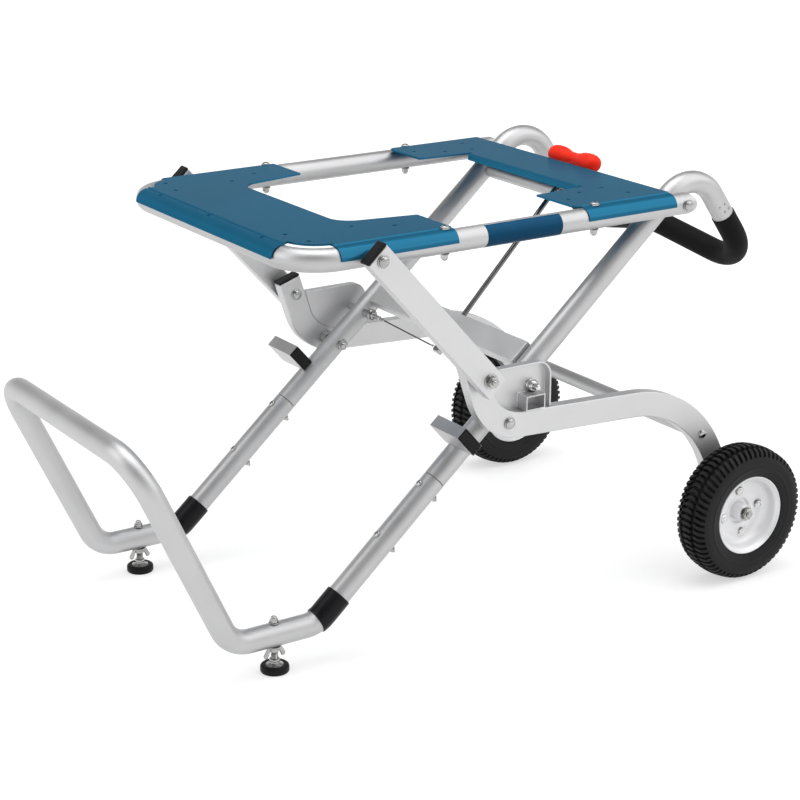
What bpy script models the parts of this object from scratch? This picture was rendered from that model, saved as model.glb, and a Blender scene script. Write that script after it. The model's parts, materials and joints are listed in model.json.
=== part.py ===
"""Folding saw stand: tube table on crossed legs, wheel arms and a drop handle. Metres, +Z up."""
import math

import bmesh
import bpy
from mathutils import Matrix, Vector

# driving sizes, in metres and degrees; X runs from the feet to the handle, Y across, Z up
TUBE_SIDES = 14         # facets round a bent tube
PIN_SIDES = 12          # facets round a pin or its hole
HOLE_SIDES = 8          # facets round a small hole in a plate
WIRE_SIDES = 8          # facets round a release wire
BAR_SIDES = 16          # facets round a straight cross tube
WHEEL_SIDES = 24        # facets round a wheel
BEND_STEP = 22.5        # degrees between the points of a bent tube
OUTLINE_STEP = 15.0     # the same for a flat outline
WELD = 0.00001          # points closer than this are one
REACH = 0.010           # how far a cutter runs past what it cuts
GAP = 0.0003            # seat gap between pieces that touch
RUN = 0.0004            # running clearance round a pivot or a sliding rod
LEG_ANGLE = 41.1        # slope of the legs
LEG_REF_Z = 0.300       # height of the leg axis at the layout point
LEG_Y = 0.208           # leg axis, from the middle
LEG_D = 0.033
SEAM_S = -0.111         # places along the leg axis, from the layout point
COLLAR_S = -0.322
FOOT_SEAM_S = -0.3445
COLLAR_WALL = 0.0016
ARM_PIVOT_S = 0.012
PIN_S = 0.077
PIN_N = 0.002
TABLE_PIVOT_S = 0.4256
BAR_S = 0.112
BAR_N = 0.006
TOP_TUBE_S = 0.390
TOP_TUBE_N = -0.004
TOP_TUBE_D = 0.025
STOP_S = -0.050
STOP_W = 0.0412
STOP_INSET = 0.013      # stop stub, inwards and outwards from the leg axis
STOP_REACH = 0.056
SEAM_GAP = 0.0008

FOOT_D = 0.034
FOOT_Z = 0.055
FOOT_X = -0.347
FOOT_RISE_ANGLE = 65.5
CROSS_X = -0.546
CROSS_Z = 0.343
ANKLE_R = 0.042
TOE_R = 0.045
CROSS_R = 0.060
STUD_D = 0.010
PAD_D = 0.0405
PAD_H = 0.011
PAD_EDGE = 0.002
DISH_D = 0.025          # steel dish and swivel on the pad
DISH_H = 0.003
SWIVEL_D = 0.0148
SWIVEL_H = 0.004
ACORN_D = 0.014
ACORN_SIDE = 0.0035
WING_SPAN = 0.034
WING_H = 0.0145
WING_HUB_WALL = 0.003
WING_HUB_H = 0.0078
WING_TIP_R = 0.0038
WING_TIP_ARC = (22.0, -128.0)
WING_T = 0.0032

ARCH_S = 0.4963
ARCH_R = 0.055
DROP_ANGLE = 54.8
DROP_L = 0.219
BAR_RISE = 0.053
DROP_R = 0.064
MID_R = 0.120
GRIP_FROM = 0.102
GRIP_WALL = 0.0011

RAIL_D = 0.032
PIVOT_WASHER = 0.0015   # leg to rail
FRONT_X = -0.316
FRONT_R = 0.060
RAIL_END = 0.017
RAIL_END_ARC = 75.0
PLATE_T = 0.003
ROLL_ANGLE = 90.0
ROLL_STEPS = 6
FP_CUT_IN = 0.046       # plate corners, inwards from the rail axis
FP_CUT_X = -0.264
FP_END_X = -0.080
FP_END_IN = 0.084
FP_THROAT_X = -0.193
FP_THROAT_IN = 0.105
FP_INNER_R = 0.034
FP_NOTCH = 0.011
FP_CORNER_ARC = (170.0, 100.0)
FP_SPACER_GAP = 0.0012  # round the link spacer, where it passes the rolled edge
RP_REAR_X = 0.299
RP_END_X = 0.129
RP_ROLL_X = 0.141
RP_END_IN = 0.092
RP_THROAT_X = 0.213
RP_THROAT_IN = 0.105
RP_CORNER = 0.010
RP_SHOULDER = 0.012
RP_NOTCH = 0.007
RP_FLANGE = 0.007
FRONT_BOLT_X = -0.092
REAR_BOLT_X = 0.162
PLATE_BOLT_D = 0.008
PLATE_HOLE_D = 0.0066
FP_HOLES = ((-0.281, 0.205), (-0.289, 0.157), (-0.318, 0.147), (-0.192, 0.166), (-0.140, 0.193))
FP_MID_HOLE_X = -0.318
RP_HOLES = ((0.236, 0.164), (0.190, 0.171), (0.150, 0.198), (0.249, 0.209))

BOX_W = 0.038           # flat-sided tube of the wheel arms, links, stops and cross bar
BOX_T = 0.019
BOX_EDGE = 0.0014
CAP_T = 0.004
STOP_WALL = 0.0016
ARM_SPACER = 0.015      # leg to wheel arm
ARM_TOP_X = -0.0545
ARM_TOP_Z = 0.410
ARM_KNEE_X = -0.0203
ARM_KNEE_Z = 0.3048
ARM_KNEE_R = 0.070
ARM_HIP_X = 0.3795
ARM_HIP_Z = 0.2853
ARM_HIP_R = 0.180
ARM_END_X = 0.415
ARM_END_Z = 0.084
ARM_TUBE_X = 0.369
ARM_TUBE_Z = 0.223
ARM_TUBE_D = 0.022
WEB_T = 0.003
WEB_TOP_Z = 0.388
WEB_END_X = 0.085
WEB_R = 0.023
WEB_FLANGE = 0.014
STUB_W = 0.033
STUB_H = 0.022
STUB_WALL = 0.002
STUB_X = 0.050
STUB_L = 0.0222

LINK_SPACER = 0.008     # rail to link
LINK_TOP_X = -0.217
LINK_LOW_X = -0.043
LINK_LOW_Z = 0.386
LINK_OVER = 0.016
PIVOT_D = 0.010
ARM_PIVOT_D = 0.012
HEAD_D = 0.018
HEAD_H = 0.0055
SPACER_D = 0.021
ARM_SPACER_D = 0.023

PIN_D = 0.011
PIN_NECK_D = 0.007
PIN_REACH = 0.055       # lock pin and housing, inwards from the leg axis
PIN_END_L = 0.0195
PIN_COLLAR = 0.0025
PIN_COLLAR_L = 0.008
PIN_CHAMFER = 0.0015
PIN_SHOULDER = 0.004    # full pin diameter, inwards from its housing
HOUSING_D = 0.018
HOUSING_REACH = 0.034
CABLE_D = 0.0025
ROD_D = 0.008
ROD_LOW_S = 0.0755
ROD_LOW_N = -0.012
GRIP_S = 0.436
GRIP_N = 0.0184
T_GRIP_D = 0.0286
T_WAIST_D = 0.019
T_GRIP_L = 0.114
T_END_R = 0.011
T_TAPER = 0.027         # full lobes, from the middle
T_WAIST_L = 0.014
T_RISE = 0.0045         # grip axis above the rod axis
EYE_L = 0.014
EYE_W = 0.012
GUIDE_W = 0.022
GUIDE_T = 0.008
GUIDE_OVER = 0.005      # metal of the guide above the rod
GUIDE_EDGE = 0.001

WHEEL_R = 0.104
WHEEL_OFFSET = 0.0415   # arm to the middle of the tyre
TYRE_W = 0.062
TYRE_WALL = 0.007
RIM_SEAT_R = 0.0555
RIM_LIP_R = 0.0612
RIM_W = 0.055
RIM_WALL = 0.0033
RIM_DROP = 0.0065
HUB_D = 0.027
HUB_OUT = 0.0165
HUB_IN = 0.003          # hub past the rim, on the arm's side
AXLE_D = 0.012
AXLE_SHOULDER = 0.002   # axle spacer, smaller than the hub all round
RIM_FACE = 0.003        # faces of the disc, from the wheel's middle
RIM_BACK = -0.002
RIM_DISH = -0.005
RIM_STEP_R = 0.031
RIM_CONE = 0.013
TYRE_BULGE_R = 0.080    # radii on the tyre's section
TYRE_SHOULDER_R = 0.096
TYRE_SHOULDER = 0.005
TYRE_CROWN = 0.011
TYRE_BEAD = 0.004
TYRE_TUCK = 0.001

DEG = math.pi / 180.0
LEG_R, RAIL_R, FOOT_R = LEG_D / 2, RAIL_D / 2, FOOT_D / 2
CA, SA = math.cos(LEG_ANGLE * DEG), math.sin(LEG_ANGLE * DEG)
RAIL_Y = LEG_Y + LEG_R + PIVOT_WASHER + RAIL_R
ARM_IN_Y = LEG_Y + LEG_R + ARM_SPACER
ARM_OUT_Y = ARM_IN_Y + BOX_T
LINK_IN_Y = RAIL_Y + RAIL_R + LINK_SPACER
LINK_OUT_Y = LINK_IN_Y + BOX_T
WHEEL_Y = ARM_OUT_Y + WHEEL_OFFSET
STOP_IN_Y, STOP_OUT_Y = LEG_Y - STOP_INSET, LEG_Y + STOP_REACH
PIN_IN_Y, HOUSING_IN_Y = LEG_Y - PIN_REACH, LEG_Y - HOUSING_REACH
PIN_END_Y = ARM_IN_Y + WEB_T + PIN_END_L
FP_CUT_Y, FP_END_Y, FP_THROAT_Y = RAIL_Y - FP_CUT_IN, RAIL_Y - FP_END_IN, RAIL_Y - FP_THROAT_IN
RP_END_Y, RP_THROAT_Y = RAIL_Y - RP_END_IN, RAIL_Y - RP_THROAT_IN
LEG_IN, LEG_OUT = LEG_Y - LEG_R, LEG_Y + LEG_R
RAIL_IN, RAIL_OUT = RAIL_Y - RAIL_R, RAIL_Y + RAIL_R
UPRIGHT = (90 * DEG, 0.0, 0.0)      # stands a flat outline up in the x-z plane
BOTH = (("_l", -1), ("_r", 1))


def on_leg(s, n=0.0):
    """(x, z) at s along the leg axis and n square to it, upwards."""
    return (s * CA - n * SA, LEG_REF_Z + s * SA + n * CA)


def at(xz, y):
    return (xz[0], y, xz[1])


def along(start, run, by):
    """(x, z) at a distance from a point, along a direction."""
    return (start[0] + run[0] * by, start[1] + run[1] * by)


P1 = on_leg(TABLE_PIVOT_S)          # table on the legs
P2 = on_leg(ARM_PIVOT_S)            # wheel arms on the legs
RAIL_Z = P1[1]
P3 = (LINK_TOP_X, RAIL_Z)           # links on the table
P4 = (LINK_LOW_X, LINK_LOW_Z)       # links on the wheel arms
PIN = on_leg(PIN_S, PIN_N)
WHEEL_X = ARM_HIP_X + (ARM_END_X - ARM_HIP_X) * (ARM_HIP_Z - WHEEL_R) / (ARM_HIP_Z - ARM_END_Z)
WHEEL = (WHEEL_X, WHEEL_R)
PULL_LOW, PULL_TOP = on_leg(ROD_LOW_S, ROD_LOW_N), on_leg(GRIP_S, GRIP_N)

for old in list(bpy.data.objects):
    bpy.data.objects.remove(old, do_unlink=True)
PARTS = bpy.data.collections.new("folding_saw_stand")
CUTTERS = bpy.data.collections.new("cutters")
for made in (PARTS, CUTTERS):
    bpy.context.scene.collection.children.link(made)

# colour, metallic and roughness
LOOKS = {
    "alloy": ((0.62, 0.63, 0.65), 1.0, 0.36),
    "steel": ((0.66, 0.66, 0.65), 1.0, 0.25),
    "blue": ((0.010, 0.105, 0.215), 0.1, 0.42),
    "rubber": ((0.012, 0.012, 0.013), 0.0, 0.75),
    "plastic": ((0.016, 0.016, 0.017), 0.0, 0.45),
    "red": ((0.62, 0.012, 0.010), 0.0, 0.38),
    "wheel": ((0.78, 0.79, 0.80), 0.85, 0.35),
}
SMOOTH_ANGLE = 40.0
HOOKS, SPOTS = {}, {}


def body(name, spot, under=None):
    """An empty on a joint's axis, under the empty of the body that carries it."""
    hook = bpy.data.objects.new(name, None)
    hook.empty_display_size = PIVOT_D
    hook.parent = HOOKS.get(under)
    hook.location = Vector(spot) - SPOTS[under] if under else Vector(spot)
    HOOKS[name], SPOTS[name] = hook, Vector(spot)
    PARTS.objects.link(hook)


body("legs", (0.0, 0.0, 0.0))
body("table", at(P1, 0.0), "legs")
body("arms", at(P2, 0.0), "legs")
body("release", at(PULL_LOW, 0.0), "legs")
for tag, side in BOTH:
    body("link_hook" + tag, at(P3, LINK_IN_Y * side), "table")
    body("wheel_hook" + tag, at(WHEEL, WHEEL_Y * side), "arms")
    body("lock_hook" + tag, at(PIN, LEG_Y * side), "legs")
    body("foot_hook" + tag, (FOOT_X, LEG_Y * side, 0.0), "legs")


def look(kind, name):
    colour, metal, rough = LOOKS[kind]
    coat = bpy.data.materials.new(name)
    coat.use_nodes = True
    coat.diffuse_color = (*colour, 1.0)
    shader = coat.node_tree.nodes["Principled BSDF"]
    shader.inputs["Base Color"].default_value = (*colour, 1.0)
    shader.inputs["Metallic"].default_value = metal
    shader.inputs["Roughness"].default_value = rough
    return coat


def hang(name, mesh, kind, on, spot=(0.0, 0.0, 0.0), turn=(0.0, 0.0, 0.0)):
    """An object on a body's empty, at a spot of the layout; kind None makes it a cutter."""
    obj = bpy.data.objects.new(name, mesh)
    obj.parent = HOOKS[on]
    obj.location = Vector(spot) - SPOTS[on]
    obj.rotation_euler = turn
    if kind:
        mesh.materials.append(look(kind, name))
        mesh.shade_smooth()
        mesh.set_sharp_from_angle(angle=SMOOTH_ANGLE * DEG)
    else:
        obj.hide_render = True
        obj.display_type = "WIRE"
    (PARTS if kind else CUTTERS).objects.link(obj)
    return obj


def cut(obj, tool, how="DIFFERENCE"):
    step = obj.modifiers.new(how.lower(), "BOOLEAN")
    step.operation, step.solver, step.object = how, "EXACT", tool


def soften(obj, width, segments=1, angle=50.0):
    step = obj.modifiers.new("edges", "BEVEL")
    step.width, step.segments = width, segments
    step.limit_method, step.angle_limit = "ANGLE", angle * DEG


def wall(obj, thick, offset):
    step = obj.modifiers.new("wall", "SOLIDIFY")
    step.thickness, step.offset, step.use_even_offset = thick, offset, True


def kept(work, name):
    """A mesh from a bmesh, which is then freed."""
    mesh = bpy.data.meshes.new(name)
    work.to_mesh(mesh)
    work.free()
    return mesh


def meshed(curve):
    """The solid of a curve, with its caps welded on and their triangles joined."""
    holder = bpy.data.objects.new(curve.name, curve)
    mesh = bpy.data.meshes.new_from_object(holder)
    bpy.data.objects.remove(holder)
    work = bmesh.new()
    work.from_mesh(mesh)
    bmesh.ops.remove_doubles(work, verts=work.verts, dist=WELD)
    bmesh.ops.dissolve_limit(work, angle_limit=DEG / 4, verts=work.verts, edges=work.edges)
    bmesh.ops.recalc_face_normals(work, faces=work.faces)
    work.to_mesh(mesh)
    work.free()
    return mesh


def splined(name, points, cyclic):
    curve = bpy.data.curves.new(name, "CURVE")
    spline = curve.splines.new("POLY")
    spline.points.add(len(points) - 1)
    spline.use_cyclic_u = cyclic
    for point, spot in zip(spline.points, points):
        point.co = (*spot, *(0.0,) * (3 - len(spot)), 1.0)
    return curve


def tube(name, path, radius, kind, on="legs", sides=TUBE_SIDES):
    """A round bar along a path."""
    curve = splined(name, path, False)
    curve.dimensions, curve.twist_mode = "3D", "MINIMUM"
    curve.bevel_depth, curve.bevel_resolution = radius, (sides - 4) // 2
    curve.use_fill_caps = True
    return hang(name, meshed(curve), kind, on)


def flat(name, outline, low, high, kind, on="legs", side=1):
    """An (x, z) outline with a thickness, from low to high in y."""
    curve = splined(name, outline, True)
    curve.dimensions, curve.fill_mode = "2D", "BOTH"
    curve.extrude = (high - low) / 2
    return hang(name, meshed(curve), kind, on, (0.0, side * (low + high) / 2, 0.0), UPRIGHT)


def block(name, start, end, thick, low, high, kind, on="legs", side=1):
    """A box about a line from start to end in (x, z), from low to high in y."""
    run = Vector((end[0] - start[0], end[1] - start[1]))
    work = bmesh.new()
    bmesh.ops.create_cube(work, size=1.0, matrix=Matrix.Diagonal((run.length, high - low, thick, 1.0)))
    middle = ((start[0] + end[0]) / 2, side * (low + high) / 2, (start[1] + end[1]) / 2)
    return hang(name, kept(work, name), kind, on, middle, (0.0, -math.atan2(run.y, run.x), 0.0))


def turned(name, profile, kind, on, spot, axis="Y", sides=PIN_SIDES, ring=False):
    """(radius, height) points turned about an axis through spot; a ring's profile is a closed loop."""
    ends = [] if ring else [(0.0, profile[0][1]), (0.0, profile[-1][1])]
    loop = ends[:1] + [p for p in profile if ring or p[0] > 0.0] + ends[1:]
    closed = list(zip(loop, loop[1:] + loop[:1]))
    if sum(a[0] * b[1] - b[0] * a[1] for a, b in closed) > 0:
        loop.reverse()
    mesh = bpy.data.meshes.new(name)
    points = [(r, h, 0.0) if axis == "Y" else (r, 0.0, h) for r, h in loop]
    edges = [(i, (i + 1) % len(loop)) for i in range(len(loop) if ring else len(loop) - 1)]
    mesh.from_pydata(points, edges, [])
    obj = hang(name, mesh, kind, on, spot)
    step = obj.modifiers.new("turn", "SCREW")
    step.axis, step.steps, step.render_steps = axis, sides, sides
    step.use_merge_vertices, step.merge_threshold = True, WELD
    return obj


def stepped(*steps):
    """Profile of a turned pin from (radius, from, to) steps."""
    points = [point for r, low, high in steps for point in ((r, low), (r, high))]
    return [p for i, p in enumerate(points) if i == 0 or p != points[i - 1]]


def pin(name, steps, xz, on, side, kind="steel"):
    return turned(name, [(r, y * side) for r, y in stepped(*steps)], kind, on, at(xz, 0.0))


def drill(name, spots, radius, low, high, side=1, sides=PIN_SIDES):
    """A cutter of round bars along y, through (x, z) spots."""
    work = bmesh.new()
    for spot in spots:
        place = Matrix.Translation(at(spot, side * (low + high) / 2)) @ Matrix.Rotation(90 * DEG, 4, "X")
        bmesh.ops.create_cone(work, cap_ends=True, segments=sides, radius1=radius, radius2=radius,
                              depth=high - low, matrix=place)
    return hang(name, kept(work, name), None, "legs")


def drill_down(name, spots, radius, low, high, sides=PIN_SIDES):
    """A cutter of upright round bars at (x, y) spots."""
    work = bmesh.new()
    for x, y in spots:
        place = Matrix.Translation((x, y, (low + high) / 2))
        bmesh.ops.create_cone(work, cap_ends=True, segments=sides, radius1=radius, radius2=radius,
                              depth=high - low, matrix=place)
    return hang(name, kept(work, name), None, "legs")


def fillet(corners, radii, step=BEND_STEP):
    """Points of a path whose inner corners are rounded by arcs of the given radii."""
    path = [Vector(corners[0])]
    for a, b, c, radius in zip(corners, corners[1:], corners[2:], radii):
        b = Vector(b)
        u, w = (Vector(a) - b).normalized(), (Vector(c) - b).normalized()
        swing = math.pi - u.angle(w)
        centre = b + (u + w).normalized() * (radius / math.cos(swing / 2))
        start = b + u * radius * math.tan(swing / 2) - centre
        count = max(2, math.ceil(swing / (step * DEG)))
        for k in range(count + 1):
            t = swing * k / count
            path.append(centre + start * math.cos(t) - u * radius * math.sin(t))
    return path + [Vector(corners[-1])]


def fillet_flat(corners, radii):
    """The same for the outline of a flat piece."""
    return [(p.x, p.y) for p in fillet([(a, b, 0.0) for a, b in corners], radii, OUTLINE_STEP)]


def arc(x, y, radius, start, end, step=OUTLINE_STEP):
    """Points of an arc, from a start angle to an end angle."""
    count = math.ceil(abs(end - start) / step)
    turns = [(start + (end - start) * k / count) * DEG for k in range(count + 1)]
    return [(x + radius * math.cos(t), y + radius * math.sin(t)) for t in turns]


def beside(path, by):
    """(x, z) points at a distance to the left of a path of (x, z) points."""
    out = []
    for i, p in enumerate(path):
        a, b = Vector(path[max(i - 1, 0)]), Vector(path[min(i + 1, len(path) - 1)])
        run = ((Vector(p) - a).normalized() + (b - Vector(p)).normalized()).normalized()
        out.append((p[0] - run.y * by, p[1] + run.x * by))
    return out


def crossing(path, axis, value):
    """Where a path of (x, z) points first passes a value of x (axis 0) or z (axis 1)."""
    for a, b in zip(path, path[1:]):
        if min(a[axis], b[axis]) <= value <= max(a[axis], b[axis]):
            share = (value - a[axis]) / (b[axis] - a[axis])
            return (a[0] + (b[0] - a[0]) * share, a[1] + (b[1] - a[1]) * share)


# legs and handle: one bent tube, with a grip sleeve
leg_foot, arch = on_leg(SEAM_S + SEAM_GAP / 2), on_leg(ARCH_S)
drop = (math.cos(DROP_ANGLE * DEG), -math.sin(DROP_ANGLE * DEG))
low_bend, mid_bend = along(arch, drop, DROP_L), along(arch, drop, DROP_L - BAR_RISE)


def handle_run(ends, radii):
    """The handle's path, down one side and up the other, from the given points before the low bend."""
    near = [at(p, -LEG_Y) for p in ends] + [at(low_bend, -LEG_Y)]
    far = [(x, -y, z) for x, y, z in reversed(near)]
    return fillet(near + [at(mid_bend, 0.0)] + far, radii + [DROP_R, MID_R, DROP_R] + radii)


leg_tube = tube("leg_handle_tube", handle_run([leg_foot, arch], [ARCH_R]), LEG_R, "alloy")
grip = tube("handle_grip", handle_run([along(arch, drop, GRIP_FROM)], []), LEG_R + GAP + GRIP_WALL, "rubber")
grip_bore = handle_run([along(arch, drop, GRIP_FROM - REACH)], [])
cut(grip, tube("grip_bore", grip_bore, LEG_R + GAP, None))

# lower legs, foot bar and collars
ankle = on_leg((FOOT_Z - LEG_REF_Z) / SA)
toe = (CROSS_X + (CROSS_Z - FOOT_Z) / math.tan(FOOT_RISE_ANGLE * DEG), FOOT_Z)
foot_half = [at(p, LEG_Y) for p in (on_leg(FOOT_SEAM_S - SEAM_GAP / 2), ankle, toe, (CROSS_X, CROSS_Z))]
foot_turns = [ANKLE_R, TOE_R, CROSS_R]
foot_path = fillet(foot_half + [(x, -y, z) for x, y, z in reversed(foot_half)], foot_turns + foot_turns[::-1])
foot_bar = tube("foot_bar", foot_path, FOOT_R, "alloy")
foot_end = min(v.co.x for v in foot_bar.data.vertices)
HOOKS["legs"].location.x = -(foot_end + WHEEL_X + WHEEL_R) / 2      # the origin is under the middle
collar_bore = max(FOOT_R, LEG_R) + GAP
for tag, side in BOTH:
    leg_ends = on_leg(SEAM_S - SEAM_GAP / 2), on_leg(FOOT_SEAM_S + SEAM_GAP / 2)
    tube("lower_leg" + tag, [at(p, LEG_Y * side) for p in leg_ends], LEG_R, "alloy")
    into_bend = [(p.x, p.y * side, p.z) for p in foot_path[1:4]]
    sleeve = [at(on_leg(COLLAR_S), LEG_Y * side)] + into_bend[:2]
    bore = [at(on_leg(COLLAR_S + REACH), LEG_Y * side)] + into_bend
    collar = tube("leg_collar" + tag, sleeve, collar_bore + COLLAR_WALL, "rubber")
    cut(collar, tube("collar_bore" + tag, bore, collar_bore, None))

# levelling feet: pad, swivel, stud and acorn end in one, with a wing nut under the bar
stud, pad, acorn = STUD_D / 2, PAD_D / 2, ACORN_D / 2
acorn_z, wing_z, swivel_z = FOOT_Z + FOOT_R, FOOT_Z - FOOT_R, PAD_H + DISH_H
foot_profile = [
    (pad - PAD_EDGE, 0.0), (pad, PAD_EDGE), (pad, PAD_H - PAD_EDGE), (pad - PAD_EDGE, PAD_H),
    (DISH_D / 2, PAD_H), (SWIVEL_D / 2, swivel_z), (SWIVEL_D / 2, swivel_z + SWIVEL_H),
    (stud, swivel_z + SWIVEL_H), (stud, acorn_z + GAP), (acorn, acorn_z + GAP)]
foot_profile += arc(0.0, acorn_z + ACORN_SIDE, acorn, 0, 60, 30.0) + [(0.0, acorn_z + ACORN_SIDE + acorn)]
hub = stud + WING_HUB_WALL
root_in, root_out, root_z = hub - WING_T / 2, hub + WING_T / 2, -WING_T / 4
ear = [(root_in, WING_T - WING_HUB_H), (root_in, root_z), (root_out, root_z)]
ear += arc(WING_SPAN / 2 - WING_TIP_R, -WING_H, WING_TIP_R, *WING_TIP_ARC, 40.0)
for tag, side in BOTH:
    spot = (FOOT_X, LEG_Y * side, 0.0)
    turned("level_foot" + tag, foot_profile, "rubber", "foot_hook" + tag, spot, "Z")
    stud_way = drill_down("stud_way" + tag, [spot[:2]], stud + RUN, 0.0, acorn_z + REACH)
    wing_hub = stepped((hub, wing_z - WING_HUB_H, wing_z - GAP))
    wing = turned("wing_nut" + tag, wing_hub, "steel", "legs", spot, "Z")
    for way, end in ((-1, "_front"), (1, "_back")):
        outline = [(FOOT_X + way * x, wing_z + z) for x, z in ear]
        blade = flat("ear" + end + tag, outline, LEG_Y - WING_T / 2, LEG_Y + WING_T / 2, None, side=side)
        cut(wing, blade, "UNION")
    cut(wing, stud_way)
    cut(foot_bar, stud_way)

# bars between the legs, and the stops that the folded wheel arms come to
inner = LEG_IN - GAP
bar = block("leg_cross_bar", on_leg(BAR_S - BOX_W / 2, BAR_N), on_leg(BAR_S + BOX_W / 2, BAR_N), BOX_T,
            -inner, inner, "alloy")
soften(bar, BOX_EDGE, 2)
turned("top_cross_tube", stepped((TOP_TUBE_D / 2, -inner, inner)), "alloy", "legs",
       at(on_leg(TOP_TUBE_S, TOP_TUBE_N), 0.0), sides=BAR_SIDES)
stop_low = LEG_R + GAP


def stop_box(name, inset, low, high, kind, side):
    """A box inside the stop's outline by an inset."""
    ends = on_leg(STOP_S, stop_low + inset), on_leg(STOP_S, stop_low + STOP_W - inset)
    return block(name, *ends, BOX_T - 2 * inset, low, high, kind, side=side)


# each end's name, where its cap starts, and how far the pocket runs past the cap on either side
stop_ends = (("in", STOP_IN_Y, REACH, GAP), ("out", STOP_OUT_Y - CAP_T, GAP, REACH))
for tag, side in BOTH:
    stop = stop_box("stop_stub" + tag, 0.0, STOP_IN_Y, STOP_OUT_Y, "alloy", side)
    soften(stop, BOX_EDGE, 2)
    for end, low, past_low, past_high in stop_ends:
        stop_box("stop_cap_" + end + tag, STOP_WALL + GAP, low, low + CAP_T, "plastic", side)
        pocket = low - past_low, low + CAP_T + past_high
        cut(stop, stop_box("stop_pocket_" + end + tag, STOP_WALL, *pocket, None, side))

# table rail: one bent tube, its rear ends cut round about the pivot
rail_half = [(P1[0] + RAIL_END + REACH, -RAIL_Y, RAIL_Z), (FRONT_X, -RAIL_Y, RAIL_Z)]
rail_path = fillet(rail_half + [(x, -y, z) for x, y, z in reversed(rail_half)], [FRONT_R, FRONT_R])
rail = tube("table_rail", rail_path, RAIL_R, "alloy", "table")
round_end = arc(*P1, RAIL_END, -RAIL_END_ARC, RAIL_END_ARC)
past = P1[0] + 2 * RAIL_END
round_cut = [(round_end[0][0], P1[1] - RAIL_D)] + round_end + [(round_end[-1][0], P1[1] + RAIL_D)]
round_cut += [(past, P1[1] + RAIL_D), (past, P1[1] - RAIL_D)]
cut(rail, flat("rail_ends", round_cut, -RAIL_OUT - REACH, RAIL_OUT + REACH, None))

# plates: half a sheet, its edges rolled down over the rail, mirrored and made solid outwards
SHEET_R = RAIL_R + GAP
SHEET_Z = RAIL_Z + SHEET_R


def half_sheet(name, outline, rolls, lips=()):
    """Rolls are (edge, axis point, axis) about the rail; lips are edges that are bent straight down."""
    work = bmesh.new()
    corners = [work.verts.new((x, y, SHEET_Z)) for x, y in outline]
    top = work.faces.new(corners)
    for first, centre, axis in rolls:
        edge = work.edges.get((corners[first], corners[first + 1]))
        bmesh.ops.spin(work, geom=[edge, *edge.verts], cent=centre, axis=axis, angle=-ROLL_ANGLE * DEG,
                       steps=ROLL_STEPS)
    for first in lips:
        edge = work.edges.get((corners[first], corners[first + 1]))
        bent = bmesh.ops.extrude_edge_only(work, edges=[edge])["geom"]
        down = [v for v in bent if isinstance(v, bmesh.types.BMVert)]
        bmesh.ops.translate(work, verts=down, vec=(0.0, 0.0, -RP_FLANGE))
    bmesh.ops.recalc_face_normals(work, faces=work.faces)
    if top.normal.z < 0:
        bmesh.ops.reverse_faces(work, faces=work.faces)
    plate = hang(name, kept(work, name), "blue", "table")
    step = plate.modifiers.new("other half", "MIRROR")
    step.use_axis = (False, True, False)
    step.merge_threshold = WELD
    wall(plate, PLATE_T, 1.0)
    return plate


side_axis = ((0.0, RAIL_Y, RAIL_Z), (1.0, 0.0, 0.0))
front_axis = ((FRONT_X, 0.0, RAIL_Z), (0.0, 1.0, 0.0))
corner = arc(FRONT_X + FRONT_R, RAIL_Y - FRONT_R, FRONT_R - FP_NOTCH, *FP_CORNER_ARC)
throat = fillet_flat([(FP_END_X, FP_END_Y), (FP_THROAT_X, FP_THROAT_Y), (FP_THROAT_X, 0.0)], [FP_INNER_R])
front_outline = [(FRONT_X, 0.0), (FRONT_X, FP_CUT_Y)] + corner
side_edge = len(front_outline)
front_outline += [(FP_CUT_X, RAIL_Y), (FP_END_X, RAIL_Y)] + throat
front = half_sheet("front_plate", front_outline, [(0, *front_axis), (side_edge, *side_axis)])
notch_x, notch_y = RP_THROAT_X + RP_NOTCH, RP_THROAT_Y + RP_NOTCH
rear_outline = [
    (RP_REAR_X, 0.0), (RP_REAR_X, RAIL_Y), (RP_ROLL_X, RAIL_Y), (RP_END_X, RAIL_Y - RP_CORNER),
    (RP_END_X, RP_END_Y), (RP_THROAT_X - RP_SHOULDER, notch_y), (notch_x, notch_y), (notch_x, RP_THROAT_Y),
    (RP_THROAT_X, RP_THROAT_Y - GAP), (RP_THROAT_X, 0.0)]
rear = half_sheet("rear_plate", rear_outline, [(1, *side_axis)], [len(rear_outline) - 2])
over = SHEET_Z + PLATE_T + REACH
for plate, holes, bolt_x in ((front, FP_HOLES, FRONT_BOLT_X), (rear, RP_HOLES, REAR_BOLT_X)):
    spots = [(x, y * side) for x, y in holes for side in (-1, 1)]
    spots += [(FP_MID_HOLE_X, 0.0)] if plate is front else []
    small_r, under = PLATE_HOLE_D / 2, SHEET_Z - PLATE_T
    cut(plate, drill_down(plate.name + "_holes", spots, small_r, under, over, HOLE_SIDES))
    bolt_spots = [(bolt_x, -RAIL_Y), (bolt_x, RAIL_Y)]
    bolt_way = drill_down(plate.name + "_bolts", bolt_spots, PLATE_BOLT_D / 2 + GAP, RAIL_Z - RAIL_D, over)
    cut(plate, bolt_way)
    cut(rail, bolt_way)

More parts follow.
